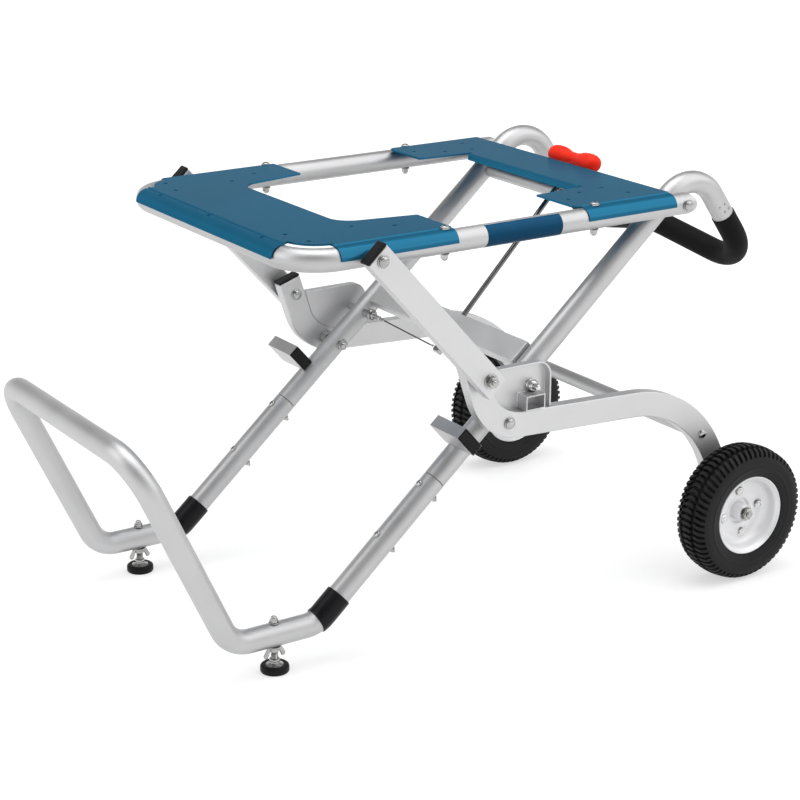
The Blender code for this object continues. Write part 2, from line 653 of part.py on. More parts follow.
# wheel arms: flat-sided tube bent twice, with a flanged web in the knee
half = BOX_W / 2
arm_corners = [(ARM_TOP_X, ARM_TOP_Z), (ARM_KNEE_X, ARM_KNEE_Z),
               (ARM_HIP_X, ARM_HIP_Z), (ARM_END_X, ARM_END_Z)]
arm_line = fillet_flat(arm_corners, [ARM_KNEE_R, ARM_HIP_R])
arm_upper, arm_lower = beside(arm_line, half), beside(arm_line, -half)
web_line = beside(arm_line, half + GAP)
web_start, web_stop = crossing(web_line, 1, WEB_TOP_Z), crossing(web_line, 0, WEB_END_X)
web_edge = [p for p in web_line if p[1] < web_start[1] - WEB_T and p[0] < WEB_END_X - WEB_T]
web_corner = arc(WEB_END_X - WEB_R, WEB_TOP_Z - WEB_R, WEB_R, 0, 90)
web_outline = [(web_start[0] + WEB_T / 2, WEB_TOP_Z)] + web_edge + [web_stop] + web_corner
STUB_Z = crossing(arm_upper, 0, STUB_X - STUB_W / 2)[1] + STUB_H / 2 + 2 * GAP


def web(name, side):
    """A plate against the arm, with its top and rear edges flanged outwards."""
    work = bmesh.new()
    corners = [work.verts.new((x, ARM_IN_Y * side, z)) for x, z in web_outline]
    face = work.faces.new(corners)
    lip = corners[-len(web_corner) - 1:] + corners[:1]
    edges = [work.edges.get(pair) for pair in zip(lip, lip[1:])]
    bent = bmesh.ops.extrude_edge_only(work, edges=edges)["geom"]
    rim = [v for v in bent if isinstance(v, bmesh.types.BMVert)]
    bmesh.ops.translate(work, verts=rim, vec=(0.0, WEB_FLANGE * side, 0.0))
    bmesh.ops.recalc_face_normals(work, faces=work.faces)
    if face.normal.y * side > 0:
        bmesh.ops.reverse_faces(work, faces=work.faces)
    panel = hang(name, kept(work, name), "alloy", "arms")
    wall(panel, WEB_T, -1.0)
    return panel


def stub_box(name, inset, low, high, side):
    ends = (STUB_X - STUB_W / 2 + inset, STUB_Z), (STUB_X + STUB_W / 2 - inset, STUB_Z)
    return block(name, *ends, STUB_H - 2 * inset, low, high, None, side=side)


turned("arm_cross_tube", stepped((ARM_TUBE_D / 2, -ARM_IN_Y + GAP, ARM_IN_Y - GAP)), "alloy", "arms",
       (ARM_TUBE_X, 0.0, ARM_TUBE_Z), sides=BAR_SIDES)
arm_run = (Vector(arm_line[1]) - Vector(arm_line[0])).normalized()
stub_y = ARM_IN_Y + WEB_T
for tag, side in BOTH:
    arm = flat("wheel_arm" + tag, arm_upper + arm_lower[::-1], ARM_IN_Y, ARM_OUT_Y, "alloy", "arms", side)
    soften(arm, BOX_EDGE)
    across = ARM_IN_Y - REACH, ARM_OUT_Y + REACH, side
    cut(arm, drill("arm_pivot_way" + tag, [P2], ARM_PIVOT_D / 2 + RUN, *across))
    cut(arm, drill("arm_link_way" + tag, [P4], PIVOT_D / 2 + RUN, *across))
    cut(arm, drill("axle_way" + tag, [WHEEL], AXLE_D / 2 + GAP, *across))
    cap_ends = along(arm_line[0], arm_run, -CAP_T - GAP), along(arm_line[0], arm_run, -GAP)
    cap = block("arm_cap" + tag, *cap_ends, BOX_W, ARM_IN_Y, ARM_OUT_Y, "plastic", "arms", side)
    soften(cap, BOX_EDGE)
    panel = web("web_plate" + tag, side)
    cut(panel, drill("web_pin_way" + tag, [PIN], PIN_D / 2 + GAP, ARM_IN_Y - REACH, stub_y + WEB_T, side))
    cut(panel, stub_box("stub" + tag, 0.0, stub_y - WEB_T / 2, stub_y + STUB_L, side), "UNION")
    cut(panel, stub_box("stub_bore" + tag, STUB_WALL, stub_y, stub_y + STUB_L + REACH, side))

# links from the table's sides to the wheel arms
link_run = (Vector(P4) - Vector(P3)).normalized()
link_top = along(P3, link_run, CAP_T - LINK_OVER)
for tag, side in BOTH:
    hook = "link_hook" + tag
    link_ends = along(link_top, link_run, GAP), along(P4, link_run, LINK_OVER)
    link = block("link" + tag, *link_ends, BOX_W, LINK_IN_Y, LINK_OUT_Y, "alloy", hook, side)
    soften(link, BOX_EDGE)
    across = LINK_IN_Y - REACH, LINK_OUT_Y + REACH, side
    cut(link, drill("link_top_way" + tag, [P3], PIVOT_D / 2 + RUN, *across))
    cut(link, drill("link_low_way" + tag, [P4], PIVOT_D / 2 + GAP, *across))
    cap_ends = along(link_top, link_run, -CAP_T), link_top
    cap = block("link_cap" + tag, *cap_ends, BOX_W, LINK_IN_Y, LINK_OUT_Y, "plastic", hook, side)
    soften(cap, BOX_EDGE)

# pivots; the lower link pivot is parted between link and arm
shaft, arm_shaft, head, spacer = PIVOT_D / 2, ARM_PIVOT_D / 2, HEAD_D / 2, SPACER_D / 2
for tag, side in BOTH:
    leg_head = (head, LEG_IN - GAP - HEAD_H, LEG_IN - GAP)
    pin("table_pivot" + tag, [
        leg_head, (shaft, LEG_IN - GAP, LEG_OUT + GAP), (spacer, LEG_OUT + GAP, RAIL_IN - GAP),
        (shaft, RAIL_IN - GAP, RAIL_OUT + GAP), (head, RAIL_OUT + GAP, RAIL_OUT + GAP + HEAD_H)],
        P1, "legs", side)
    cut(leg_tube, drill("leg_table_way" + tag, [P1], shaft + GAP, LEG_IN - REACH, LEG_OUT + REACH, side))
    cut(rail, drill("rail_pivot_way" + tag, [P1], shaft + RUN, RAIL_IN - REACH, RAIL_OUT + REACH, side))
    pin("arm_pivot" + tag, [
        leg_head, (arm_shaft, LEG_IN - GAP, LEG_OUT + GAP), (ARM_SPACER_D / 2, LEG_OUT + GAP, ARM_IN_Y - GAP),
        (arm_shaft, ARM_IN_Y - GAP, ARM_OUT_Y + GAP), (head, ARM_OUT_Y + GAP, ARM_OUT_Y + GAP + HEAD_H)],
        P2, "legs", side)
    cut(leg_tube, drill("leg_arm_way" + tag, [P2], arm_shaft + GAP, LEG_IN - REACH, LEG_OUT + REACH, side))
    pin("link_pivot" + tag, [
        (head, RAIL_IN - GAP - HEAD_H, RAIL_IN - GAP), (shaft, RAIL_IN - GAP, RAIL_OUT + GAP),
        (spacer, RAIL_OUT + GAP, LINK_IN_Y - GAP), (shaft, LINK_IN_Y - GAP, LINK_OUT_Y + GAP),
        (head, LINK_OUT_Y + GAP, LINK_OUT_Y + GAP + HEAD_H)], P3, "table", side)
    cut(rail, drill("rail_link_way" + tag, [P3], shaft + GAP, RAIL_IN - REACH, RAIL_OUT + REACH, side))
    spacer_way = spacer + FP_SPACER_GAP
    cut(front, drill("front_link_way" + tag, [P3], spacer_way, RAIL_Y, RAIL_OUT + REACH, side, BAR_SIDES))
    pin("arm_link_seat" + tag, [
        (head, ARM_IN_Y - GAP - HEAD_H, ARM_IN_Y - GAP), (shaft, ARM_IN_Y - GAP, ARM_OUT_Y + GAP),
        (spacer, ARM_OUT_Y + GAP, LINK_IN_Y - 2 * GAP)], P4, "arms", side)
    pin("link_low_bolt" + tag, [
        (shaft, LINK_IN_Y, LINK_OUT_Y + GAP), (head, LINK_OUT_Y + GAP, LINK_OUT_Y + GAP + HEAD_H)],
        P4, "link_hook" + tag, side)

# lock: a sprung pin through each leg, its housing, and its outer end in the web
pin_r, neck = PIN_D / 2, PIN_NECK_D / 2
collar_y = stub_y + GAP
for tag, side in BOTH:
    pin("lock_pin_end" + tag, [
        (pin_r, ARM_IN_Y + GAP, collar_y), (pin_r + PIN_COLLAR, collar_y, collar_y + PIN_COLLAR_L),
        (pin_r, collar_y + PIN_COLLAR_L, PIN_END_Y - PIN_CHAMFER),
        (pin_r - PIN_CHAMFER, PIN_END_Y, PIN_END_Y)], PIN, "arms", side)
    housing = pin("lock_housing" + tag, [(HOUSING_D / 2, HOUSING_IN_Y, LEG_IN - GAP)], PIN, "legs", side)
    pin_way = drill("lock_pin_way" + tag, [PIN], pin_r + RUN, HOUSING_IN_Y - REACH, LEG_OUT + REACH, side)
    cut(housing, pin_way)
    cut(leg_tube, pin_way)
    shoulder, tip = HOUSING_IN_Y - PIN_SHOULDER, ARM_IN_Y - RUN
    pin("lock_pin" + tag, [
        (neck, PIN_IN_Y, shoulder), (pin_r, shoulder, tip - PIN_CHAMFER),
        (pin_r - PIN_CHAMFER, tip, tip)], PIN, "lock_hook" + tag, side)

# wheels
rim_side, seat, lip = RIM_W / 2, RIM_SEAT_R, RIM_LIP_R
hub_r, bore_r, barrel = HUB_D / 2, AXLE_D / 2 + RUN, RIM_SEAT_R - RIM_WALL
disc_r, hub_in = barrel - RIM_DROP, -rim_side - HUB_IN
rim_section = [
    (lip, rim_side), (lip, rim_side - RIM_WALL),
    (seat, rim_side - 2 * RIM_WALL), (seat, 2 * RIM_WALL - rim_side),
    (lip, RIM_WALL - rim_side), (lip, -rim_side), (barrel, RIM_WALL - rim_side), (barrel, -RIM_CONE),
    (disc_r, RIM_BACK), (hub_r, RIM_DISH), (hub_r, hub_in), (bore_r, hub_in),
    (bore_r, HUB_OUT), (hub_r, HUB_OUT), (hub_r, RIM_BACK), (RIM_STEP_R, RIM_FACE),
    (disc_r, RIM_FACE), (barrel, RIM_CONE), (barrel, rim_side - RIM_WALL)]
bead, half_w = RIM_SEAT_R + GAP, TYRE_W / 2
tyre_out = [(bead, rim_side - 2 * RIM_WALL - GAP), (lip + TYRE_BEAD, rim_side - TYRE_TUCK),
            (TYRE_BULGE_R, half_w), (TYRE_SHOULDER_R, half_w - TYRE_SHOULDER), (WHEEL_R, TYRE_CROWN)]
tyre_in = [(WHEEL_R - TYRE_WALL, TYRE_CROWN), (TYRE_BULGE_R, half_w - TYRE_WALL),
           (bead, rim_side - 2 * RIM_WALL - TYRE_WALL)]
tyre_section = tyre_out + [(r, -y) for r, y in tyre_out[::-1]] + [(r, -y) for r, y in tyre_in[::-1]] + tyre_in
for tag, side in BOTH:
    inner_y, outer_y = WHEEL_Y + hub_in - GAP, WHEEL_Y + HUB_OUT + GAP
    pin("axle" + tag, [
        (head, ARM_IN_Y - GAP - HEAD_H, ARM_IN_Y - GAP), (AXLE_D / 2, ARM_IN_Y - GAP, ARM_OUT_Y + GAP),
        (hub_r - AXLE_SHOULDER, ARM_OUT_Y + GAP, inner_y), (AXLE_D / 2, inner_y, outer_y),
        (head, outer_y, outer_y + HEAD_H)], WHEEL, "arms", side)
    for name, section, kind in (("rim", rim_section, "wheel"), ("tyre", tyre_section, "rubber")):
        facing = [(r, y * side) for r, y in section]
        spot = at(WHEEL, WHEEL_Y * side)
        turned(name + tag, facing, kind, "wheel_hook" + tag, spot, sides=WHEEL_SIDES, ring=True)

# release: red grip, pull rod in its guide, and the eye that takes both wires
rod_run = (Vector(PULL_TOP) - Vector(PULL_LOW)).normalized()
rod_r, eye_top = ROD_D / 2, along(PULL_LOW, rod_run, EYE_L / 2)
grip_axis = (PULL_TOP[0] - rod_run.y * T_RISE, PULL_TOP[1] + rod_run.x * T_RISE)
reach, lobe, waist = T_GRIP_L / 2, T_GRIP_D / 2, T_WAIST_D / 2
grip_half = [(lobe, T_TAPER), (waist, T_WAIST_L / 2)]
grip_half = arc(lobe - T_END_R, reach - T_END_R, T_END_R, 90, 0, 30.0) + grip_half
grip_profile = [(r, -y) for r, y in grip_half] + grip_half[::-1]
red = turned("release_grip", grip_profile, "red", "release", at(grip_axis, 0.0))
rod_way = [at(along(PULL_TOP, rod_run, -T_GRIP_D), 0.0), at(along(PULL_TOP, rod_run, GAP), 0.0)]
cut(red, tube("grip_rod_way", rod_way, rod_r + GAP, None, sides=PIN_SIDES))
pull_rod = tube("release_rod", [at(eye_top, 0.0), at(PULL_TOP, 0.0)], rod_r, "steel", "release", PIN_SIDES)
cut(pull_rod, block("rod_eye", along(PULL_LOW, rod_run, -EYE_L / 2), along(eye_top, rod_run, rod_r), EYE_W,
                    -EYE_W / 2, EYE_W / 2, None), "UNION")
for tag, side in BOTH:
    ends = [at(PIN, (PIN_IN_Y - GAP) * side), at(PULL_LOW, (EYE_W / 2 + GAP) * side)]
    tube("release_cable" + tag, ends, CABLE_D / 2, "steel", "release", WIRE_SIDES)
slope = (GRIP_N - ROD_LOW_N) / (GRIP_S - ROD_LOW_S)
guide_n = ROD_LOW_N + slope * (TOP_TUBE_S - ROD_LOW_S)
guide = block("rod_guide", on_leg(TOP_TUBE_S, TOP_TUBE_N + TOP_TUBE_D / 2 + GAP),
              on_leg(TOP_TUBE_S, guide_n + rod_r + GUIDE_OVER), GUIDE_T, -GUIDE_W / 2, GUIDE_W / 2, "steel")
soften(guide, GUIDE_EDGE)
through = [at(on_leg(TOP_TUBE_S + way, guide_n + slope * way), 0.0) for way in (-2 * REACH, 2 * REACH)]
cut(guide, tube("guide_way", through, rod_r + RUN, None, sides=PIN_SIDES))
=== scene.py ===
"""Looks of the folding saw stand: fine surfaces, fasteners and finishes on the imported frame. Metres, Z up."""
import json
from math import asin, ceil, cos, dist, pi, sin, sqrt, tan

import bmesh
import bpy
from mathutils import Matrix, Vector


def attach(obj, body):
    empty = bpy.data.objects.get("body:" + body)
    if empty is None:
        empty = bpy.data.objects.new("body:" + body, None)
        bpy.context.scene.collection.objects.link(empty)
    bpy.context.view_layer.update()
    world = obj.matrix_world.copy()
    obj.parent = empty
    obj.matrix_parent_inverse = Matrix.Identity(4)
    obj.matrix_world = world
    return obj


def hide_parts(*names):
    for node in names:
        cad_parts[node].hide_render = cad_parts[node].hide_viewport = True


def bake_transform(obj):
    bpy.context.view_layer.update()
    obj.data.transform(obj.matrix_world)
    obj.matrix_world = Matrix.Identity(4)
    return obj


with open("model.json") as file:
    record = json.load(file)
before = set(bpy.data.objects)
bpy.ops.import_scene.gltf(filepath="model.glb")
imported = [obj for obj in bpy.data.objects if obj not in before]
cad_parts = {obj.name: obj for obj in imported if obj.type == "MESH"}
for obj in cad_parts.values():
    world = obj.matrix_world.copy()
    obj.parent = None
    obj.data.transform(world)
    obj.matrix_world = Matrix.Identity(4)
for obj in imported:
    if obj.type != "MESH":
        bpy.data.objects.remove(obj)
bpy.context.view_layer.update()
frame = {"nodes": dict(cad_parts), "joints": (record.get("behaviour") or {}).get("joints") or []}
DEG = pi / 180.0
UP, DOWN = (0, 0, 1), (0, 0, -1)

# sizes of the frame's layout, as the solids have them: _S lies along a leg, _N square to it
GAP = 0.0003
LEG_ANGLE, LEG_REF_Z, LEG_Y, LEG_R = 41.1, 0.300, 0.208, 0.0165
SEAM_S, SEAM_GAP, COLLAR_S, FOOT_SEAM_S = -0.111, 0.0008, -0.322, -0.3445
ARM_PIVOT_S, PIN_S, PIN_N, TABLE_PIVOT_S = 0.012, 0.077, 0.002, 0.4256
BAR_S, BAR_N, TOP_TUBE_S, TOP_TUBE_N, TOP_TUBE_R = 0.112, 0.006, 0.390, -0.004, 0.0125
STOP_S, STOP_W, STOP_IN_Y, STOP_OUT_Y = -0.050, 0.0412, 0.195, 0.264
FOOT_R, FOOT_Z, FOOT_X, FOOT_RISE = 0.017, 0.055, -0.347, 65.5
CROSS_X, CROSS_Z, ANKLE_R, TOE_R, CROSS_R = -0.546, 0.343, 0.042, 0.045, 0.060
ARCH_S, ARCH_R, DROP_ANGLE, DROP_L, BAR_RISE = 0.4963, 0.055, 54.8, 0.219, 0.053
DROP_R, MID_R = 0.064, 0.120
GRIP_FROM, GRIP_WALL, COLLAR_WALL = 0.102, 0.0011, 0.0016
RAIL_R, RAIL_Y, FRONT_X, FRONT_R, RAIL_END = 0.016, 0.242, -0.316, 0.060, 0.017
PLATE_T, PLATE_EDGE = 0.003, 0.0007
FP_CUT_X, FP_CUT_Y, FP_END_X, FP_END_Y = -0.264, 0.196, -0.080, 0.158
FP_THROAT_X, FP_THROAT_Y, FP_INNER_R, FP_NOTCH = -0.193, 0.137, 0.034, 0.011
RP_REAR_X, RP_END_X, RP_ROLL_X, RP_END_Y = 0.299, 0.129, 0.141, 0.150
RP_THROAT_X, RP_THROAT_Y, RP_NOTCH, RP_FLANGE = 0.213, 0.137, 0.007, 0.007
RP_BEND_R, RP_CORNER = 0.0026, 0.010
PLATE_BOLT_X, PLATE_HOLE_R = (-0.092, 0.162), 0.0033
FP_HOLES = ((-0.281, 0.205), (-0.289, 0.157), (-0.318, 0.147), (-0.192, 0.166), (-0.140, 0.193))
FP_MID_HOLE_X = -0.318
RP_HOLES = ((0.236, 0.164), (0.190, 0.171), (0.150, 0.198), (0.249, 0.209))
BOX_W, BOX_T, BOX_EDGE, BOX_WALL, CAP_T = 0.038, 0.019, 0.0020, 0.0016, 0.004
ARM_IN_Y, ARM_CORNERS = 0.2395, ((-0.0545, 0.410), (-0.0203, 0.3048), (0.3795, 0.2853), (0.415, 0.084))
ARM_RADII, ARM_TUBE, ARM_TUBE_R = (0.070, 0.180), (0.369, 0.223), 0.011
WEB_T, WEB_TOP_Z, WEB_END_X, WEB_R, WEB_FLANGE = 0.003, 0.388, 0.085, 0.023, 0.014
STUB_W, STUB_H, STUB_WALL, STUB_X, STUB_L = 0.033, 0.022, 0.002, 0.050, 0.0222
LINK_IN_Y, LINK_TOP_X, LINK_LOW, LINK_OVER = 0.266, -0.217, (-0.043, 0.386), 0.016
PIVOT_R, ARM_PIVOT_R, HEAD_R, HEAD_H, SPACER_R = 0.005, 0.006, 0.009, 0.0055, 0.0105
PIN_R, PIN_NECK_R, PIN_IN_Y, PIN_END_L = 0.0055, 0.0035, 0.153, 0.0195
PIN_COLLAR, PIN_COLLAR_L = 0.0025, 0.008
HOUSING_R, HOUSING_IN_Y, CABLE_R, ROD_R = 0.009, 0.174, 0.00125, 0.004
ROD_LOW, GRIP_AT, T_RISE = (0.0755, -0.012), (0.436, 0.0184), 0.0045
T_GRIP_R, T_WAIST_R, T_GRIP_L, EYE_L, EYE_W = 0.0143, 0.0095, 0.114, 0.014, 0.012
WHEEL_R, WHEEL_Y, RIM_W, HUB_R, HUB_OUT, AXLE_R = 0.104, 0.300, 0.055, 0.0135, 0.0165, 0.006

# sizes that only the looks have
TUBE_SIDES, ROUND_SIDES, TUBE_CHAMFER = 44, 40, 0.0006
GRIP_LIP, COLLAR_LIP, COLLAR_OVER = 0.0008, 0.0006, 0.0125
LEG_BOLTS_S, LINK_TAIL = (-0.1305, -0.224), 0.0195
LABEL_X, LABEL_Z, LABEL_T, LABEL_STEPS = (-0.031, 0.095), (-0.0155, 0.0153), 0.0003, 16
HANDLE_SCREWS = ((0.080, 8.0), (0.080, -26.0), (0.091, 20.0), (0.091, -12.0))
CAP_EDGE, PLUG_EDGE, WEB_EDGE = 0.0016, 0.0007, 0.0009
STUB_EDGE, BLADE_EDGE, YOKE_EDGE = 0.0006, 0.0011, 0.0016
ARM_BORE, LINK_BORE = 0.020, 0.012
BOTH = (("_l", -1, "left"), ("_r", 1, "right"))

# fasteners: shares of a washer's, head's, nut's or thread's own size, and small edges
WASHER_EDGE, WASHER_T, HEAD_WALL, HEAD_EDGE, HEAD_SHARE = 0.3, 0.0014, 0.25, 0.0004, 0.82
HEX_CUT, HEX_FACE, PIN_EDGE, PIN_SIDES = 0.055, 0.9, 0.0003, 32
THREAD_PITCH, THREAD_ROOT, THREAD_TIP, THREAD_END, THREAD_SIDES = 0.0015, 0.86, 0.6, 0.0006, 24
# washer: bore, radius, thickness; nut: its washer, width across flats, top, thread's radius and tip, turn
STUD_R, TOP_WASHER = 0.005, (0.003, 0.0070, 0.0010)
LEG_NUT = 0.0030, 0.0062, 0.0012, 0.0085, 0.0058, 0.0024, 0.0098
ACORN_NUT = STUD_R, 0.0072, 0.0012, 0.0108, 0.0056
PLATE_NUT = 0.003, 0.0068, 0.0012, 0.0100, 0.0068
PIVOT_NUT = PIVOT_R, HEAD_R, 0.0012, 0.0150, 0.0066, 0.0048, 0.0102, 10.0
LINK_NUT = PIVOT_R * 0.8, 0.0108, 0.0014, 0.0142, 0.0084, 0.0042, 0.0124, 12.0
RIM_BOLT = 0.002, 0.0084, 0.0010, 0.0118, 0.0046
AXLE_NUT = AXLE_R * 0.8, 0.0118, 0.0012, 0.0164, 0.0066, 0.0046, 0.0090, 8.0
AXLE_HEAD = AXLE_R * 0.8, 0.0100, 0.0014, 0.0140, HEAD_H
# heads: radius, height, key hole
LEG_HEAD, PLATE_HEAD, PLATE_END = (0.0052, 0.0030), (0.0058, 0.0036, 0.0022), (0.0040, 0.0036)
RIM_CAP, SCREW_HEAD, TUBE_HEAD = (0.0036, 0.0014), (0.0022, 0.0012), (0.0075, 0.0045)

CA, SA = cos(LEG_ANGLE * DEG), sin(LEG_ANGLE * DEG)


def on_leg(s, n=0.0):
    """(x, z) at s along the leg axis and n square to it, upwards."""
    return (s * CA - n * SA, LEG_REF_Z + s * SA + n * CA)


def joint_at(name):
    return next(j["pos_m"] for j in frame["joints"] if j["name"] == name)


# the layout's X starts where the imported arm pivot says
SHIFT = joint_at("fold")[0] - on_leg(ARM_PIVOT_S)[0]
RAIL_Z = on_leg(TABLE_PIVOT_S)[1]
P1, P2, P3, P4 = on_leg(TABLE_PIVOT_S), on_leg(ARM_PIVOT_S), (LINK_TOP_X, RAIL_Z), LINK_LOW
PIN = on_leg(PIN_S, PIN_N)
WHEEL = (joint_at("wheel_left_spin")[0] - SHIFT, WHEEL_R)
ARM_OUT_Y, LINK_OUT_Y = ARM_IN_Y + BOX_T, LINK_IN_Y + BOX_T
LEG_SPAN, RAIL_SPAN = (LEG_Y - LEG_R, LEG_Y + LEG_R), (RAIL_Y - RAIL_R, RAIL_Y + RAIL_R)
ARM_SPAN, LINK_SPAN = (ARM_IN_Y, ARM_OUT_Y), (LINK_IN_Y, LINK_OUT_Y)

# finishes: a look's key gives its material and the record's slot
LOOKS = {}
CLOUD_SPREAD, CLOUD_DETAIL, GRAIN_DETAIL = (0.3, 0.7), 6.0, 3.0
WORN_EDGE, WORN_SHARE = (0.56, 0.68), (0.0, 0.55)
WHITE = (1.0, 1.0, 1.0)


def fill(made, values):
    for name, value in values.items():
        made.inputs[name].default_value = value


def feed(tree, made, wires):
    for name, source in wires.items():
        tree.links.new(source, made.inputs[name])


def node(tree, kind, values=None, wires=None, **settings):
    """A new shader node with its settings, its sockets' values, and its sockets fed by other nodes."""
    made = tree.nodes.new(kind)
    for name, value in settings.items():
        setattr(made, name, value)
    fill(made, values or {})
    feed(tree, made, wires or {})
    return made


def ramp(tree, source, low, high, spread=CLOUD_SPREAD):
    made = node(tree, "ShaderNodeValToRGB", wires={"Fac": source})
    for stop, place, colour in zip(made.color_ramp.elements, spread, (low, high)):
        stop.position, stop.color = place, (*colour, 1.0)
    return made.outputs["Color"]


def remap(tree, source, span, to, **settings):
    values = {"From Min": span[0], "From Max": span[1], "To Min": to[0], "To Max": to[1]}
    return node(tree, "ShaderNodeMapRange", values, {"Value": source}, **settings).outputs["Result"]


def product(tree, a, b):
    return node(tree, "ShaderNodeMath", wires={0: a, 1: b}, operation="MULTIPLY").outputs["Value"]


def finish(look, slot, name, dark, light, rough, metal, cloud, grain, bump, depth=0.0003, worn=None,
           specular=0.5, rim_tint=1.0):
    """A surface whose colour and roughness drift in soft clouds, with a fine grain and paler worn edges."""
    made = bpy.data.materials.new(name)
    made.use_nodes = True
    tree = made.node_tree
    shader = tree.nodes["Principled BSDF"]
    tint = (rim_tint, rim_tint, rim_tint, 1.0)
    fill(shader, {"Metallic": metal, "Specular IOR Level": specular, "Specular Tint": tint})
    place = node(tree, "ShaderNodeTexCoord").outputs["Object"]
    clouds, fine = (
        node(tree, "ShaderNodeTexNoise", {"Scale": scale, "Detail": detail}, {"Vector": place}).outputs["Fac"]
        for scale, detail in ((cloud, CLOUD_DETAIL), (grain, GRAIN_DETAIL)))
    colour = ramp(tree, clouds, dark, light)
    if worn:
        edge = remap(tree, node(tree, "ShaderNodeNewGeometry").outputs["Pointiness"], WORN_EDGE, WORN_SHARE)
        share = product(tree, edge, clouds)
        colour = node(tree, "ShaderNodeMix", {"B": (*worn, 1.0)}, {"Factor": share, "A": colour},
                      data_type="RGBA").outputs["Result"]
    relief = node(tree, "ShaderNodeBump", {"Strength": bump, "Distance": depth}, {"Height": fine})
    gloss = remap(tree, clouds, CLOUD_SPREAD, rough)
    feed(tree, shader, {"Base Color": colour, "Roughness": gloss, "Normal": relief.outputs["Normal"]})
    LOOKS[look] = made, slot


def silver(level):
    """A grey with a touch of blue."""
    return (level, level, level + 0.005)


def grey(level):
    return (level, level, level)


# look, slot, material, dark and light colour, roughness; metal, cloud and grain scale, bump and its depth
finish("tube", "alloy", "satin_tube", silver(0.48), silver(0.54), (0.42, 0.50), 1.0, 14.0, 1400.0, 0.12)
finish("foot", "alloy", "satin_foot", silver(0.52), silver(0.58), (0.42, 0.50), 1.0, 14.0, 1400.0, 0.12)
finish("box", "alloy", "satin_box", silver(0.60), silver(0.66), (0.46, 0.55), 1.0, 11.0, 1600.0, 0.10)
finish("web", "alloy", "satin_web", silver(0.58), silver(0.64), (0.42, 0.50), 1.0, 16.0, 1500.0, 0.10)
finish("stop", "alloy", "bright_box", silver(0.52), silver(0.58), (0.40, 0.48), 1.0, 11.0, 1600.0, 0.06)
finish("steel", "steel", "zinc_steel", (0.36, 0.36, 0.355), (0.48, 0.48, 0.47), (0.12, 0.22),
       1.0, 60.0, 900.0, 0.05)
finish("chrome", "steel", "bright_steel", grey(0.60), grey(0.70), (0.09, 0.16), 1.0, 60.0, 800.0, 0.03,
       rim_tint=0.1)
# painted dark reflection: the pull rod is bright steel, but its colour is painted dark to stand for the dark
# surroundings it mirrors
finish("rod", "steel", "bright_steel_painted_dark_reflection", grey(0.16), grey(0.20), (0.16, 0.22), 1.0, 60.0, 800.0, 0.03)
finish("wire", "steel", "dark_wire", grey(0.10), grey(0.20), (0.25, 0.4), 1.0, 300.0, 1500.0, 0.2)
finish("blue", "blue_sheet", "blue_powder_coat", (0.020, 0.140, 0.246), (0.023, 0.153, 0.268), (0.20, 0.25),
       0.48, 7.0, 1100.0, 0.04, 0.0002, worn=(0.05, 0.20, 0.34), specular=0.01, rim_tint=0.1)
finish("label", "blue_sheet", "blue_label", (0.005, 0.062, 0.140), (0.006, 0.070, 0.152), (0.24, 0.30),
       0.0, 20.0, 600.0, 0.02, specular=0.05)
finish("plastic", "black_plastic", "black_plastic", (0.006, 0.006, 0.0065), (0.010, 0.010, 0.0105),
       (0.42, 0.55), 0.0, 40.0, 1300.0, 0.12, worn=(0.03, 0.03, 0.032), specular=0.16)
finish("collar", "black_plastic", "black_sleeve", (0.004, 0.004, 0.005), (0.007, 0.007, 0.009), (0.30, 0.40),
       0.0, 30.0, 900.0, 0.06, specular=0.18)
finish("grip", "grip_rubber", "grip_rubber", (0.004, 0.004, 0.0045), (0.007, 0.007, 0.0075), (0.60, 0.72),
       0.0, 50.0, 1500.0, 0.25, 0.0004, specular=0.12)
finish("red", "red_plastic", "red_plastic", (0.78, 0.018, 0.005), (0.86, 0.026, 0.007), (0.42, 0.52),
       0.0, 25.0, 900.0, 0.04, worn=(0.88, 0.07, 0.03), specular=0.14)
finish("rim", "rim_paint", "silver_rim", (0.88, 0.88, 0.89), (0.94, 0.94, 0.95), (0.34, 0.44),
       0.30, 25.0, 900.0, 0.05)
finish("tyre", "tyre", "tyre_rubber", (0.012, 0.012, 0.0125), (0.021, 0.021, 0.0215), (0.46, 0.60),
       0.0, 45.0, 900.0, 0.22, 0.0004, worn=(0.04, 0.04, 0.041), specular=0.16)


# shapes: (points, faces) in layout metres, made into pieces below

def joined(*shapes):
    points, faces = [], []
    for p, f in shapes:
        base = len(points)
        points += list(p)
        faces += [tuple(i + base for i in g) for g in f]
    return points, faces


def mirrored(shape, side):
    points, faces = shape
    return ([(x, y * side, z) for x, y, z in points], faces)


def at(xz, y):
    return (xz[0], y, xz[1])


def both_ways(half, y, middle=()):
    """Points of a symmetric path: one side's (x, z) points, the middle's, and the other side's back again."""
    return [at(p, -y) for p in half] + [at(p, 0.0) for p in middle] + [at(p, y) for p in reversed(half)]


def heading(a, b):
    """The direction from one (x, z) point to another."""
    return Vector((b[0] - a[0], 0, b[1] - a[1])).normalized()


def along(xz, way, by):
    return (xz[0] + way.x * by, xz[1] + way.z * by)


def rows_joined(count, sides, loop):
    """Faces between rows of points, each row closed on itself; a loop joins the last row to the first."""
    pairs = [(i * sides, (i + 1) % count * sides) for i in range(count if loop else count - 1)]
    return [(a + k, a + (k + 1) % sides, b + (k + 1) % sides, b + k) for a, b in pairs for k in range(sides)]


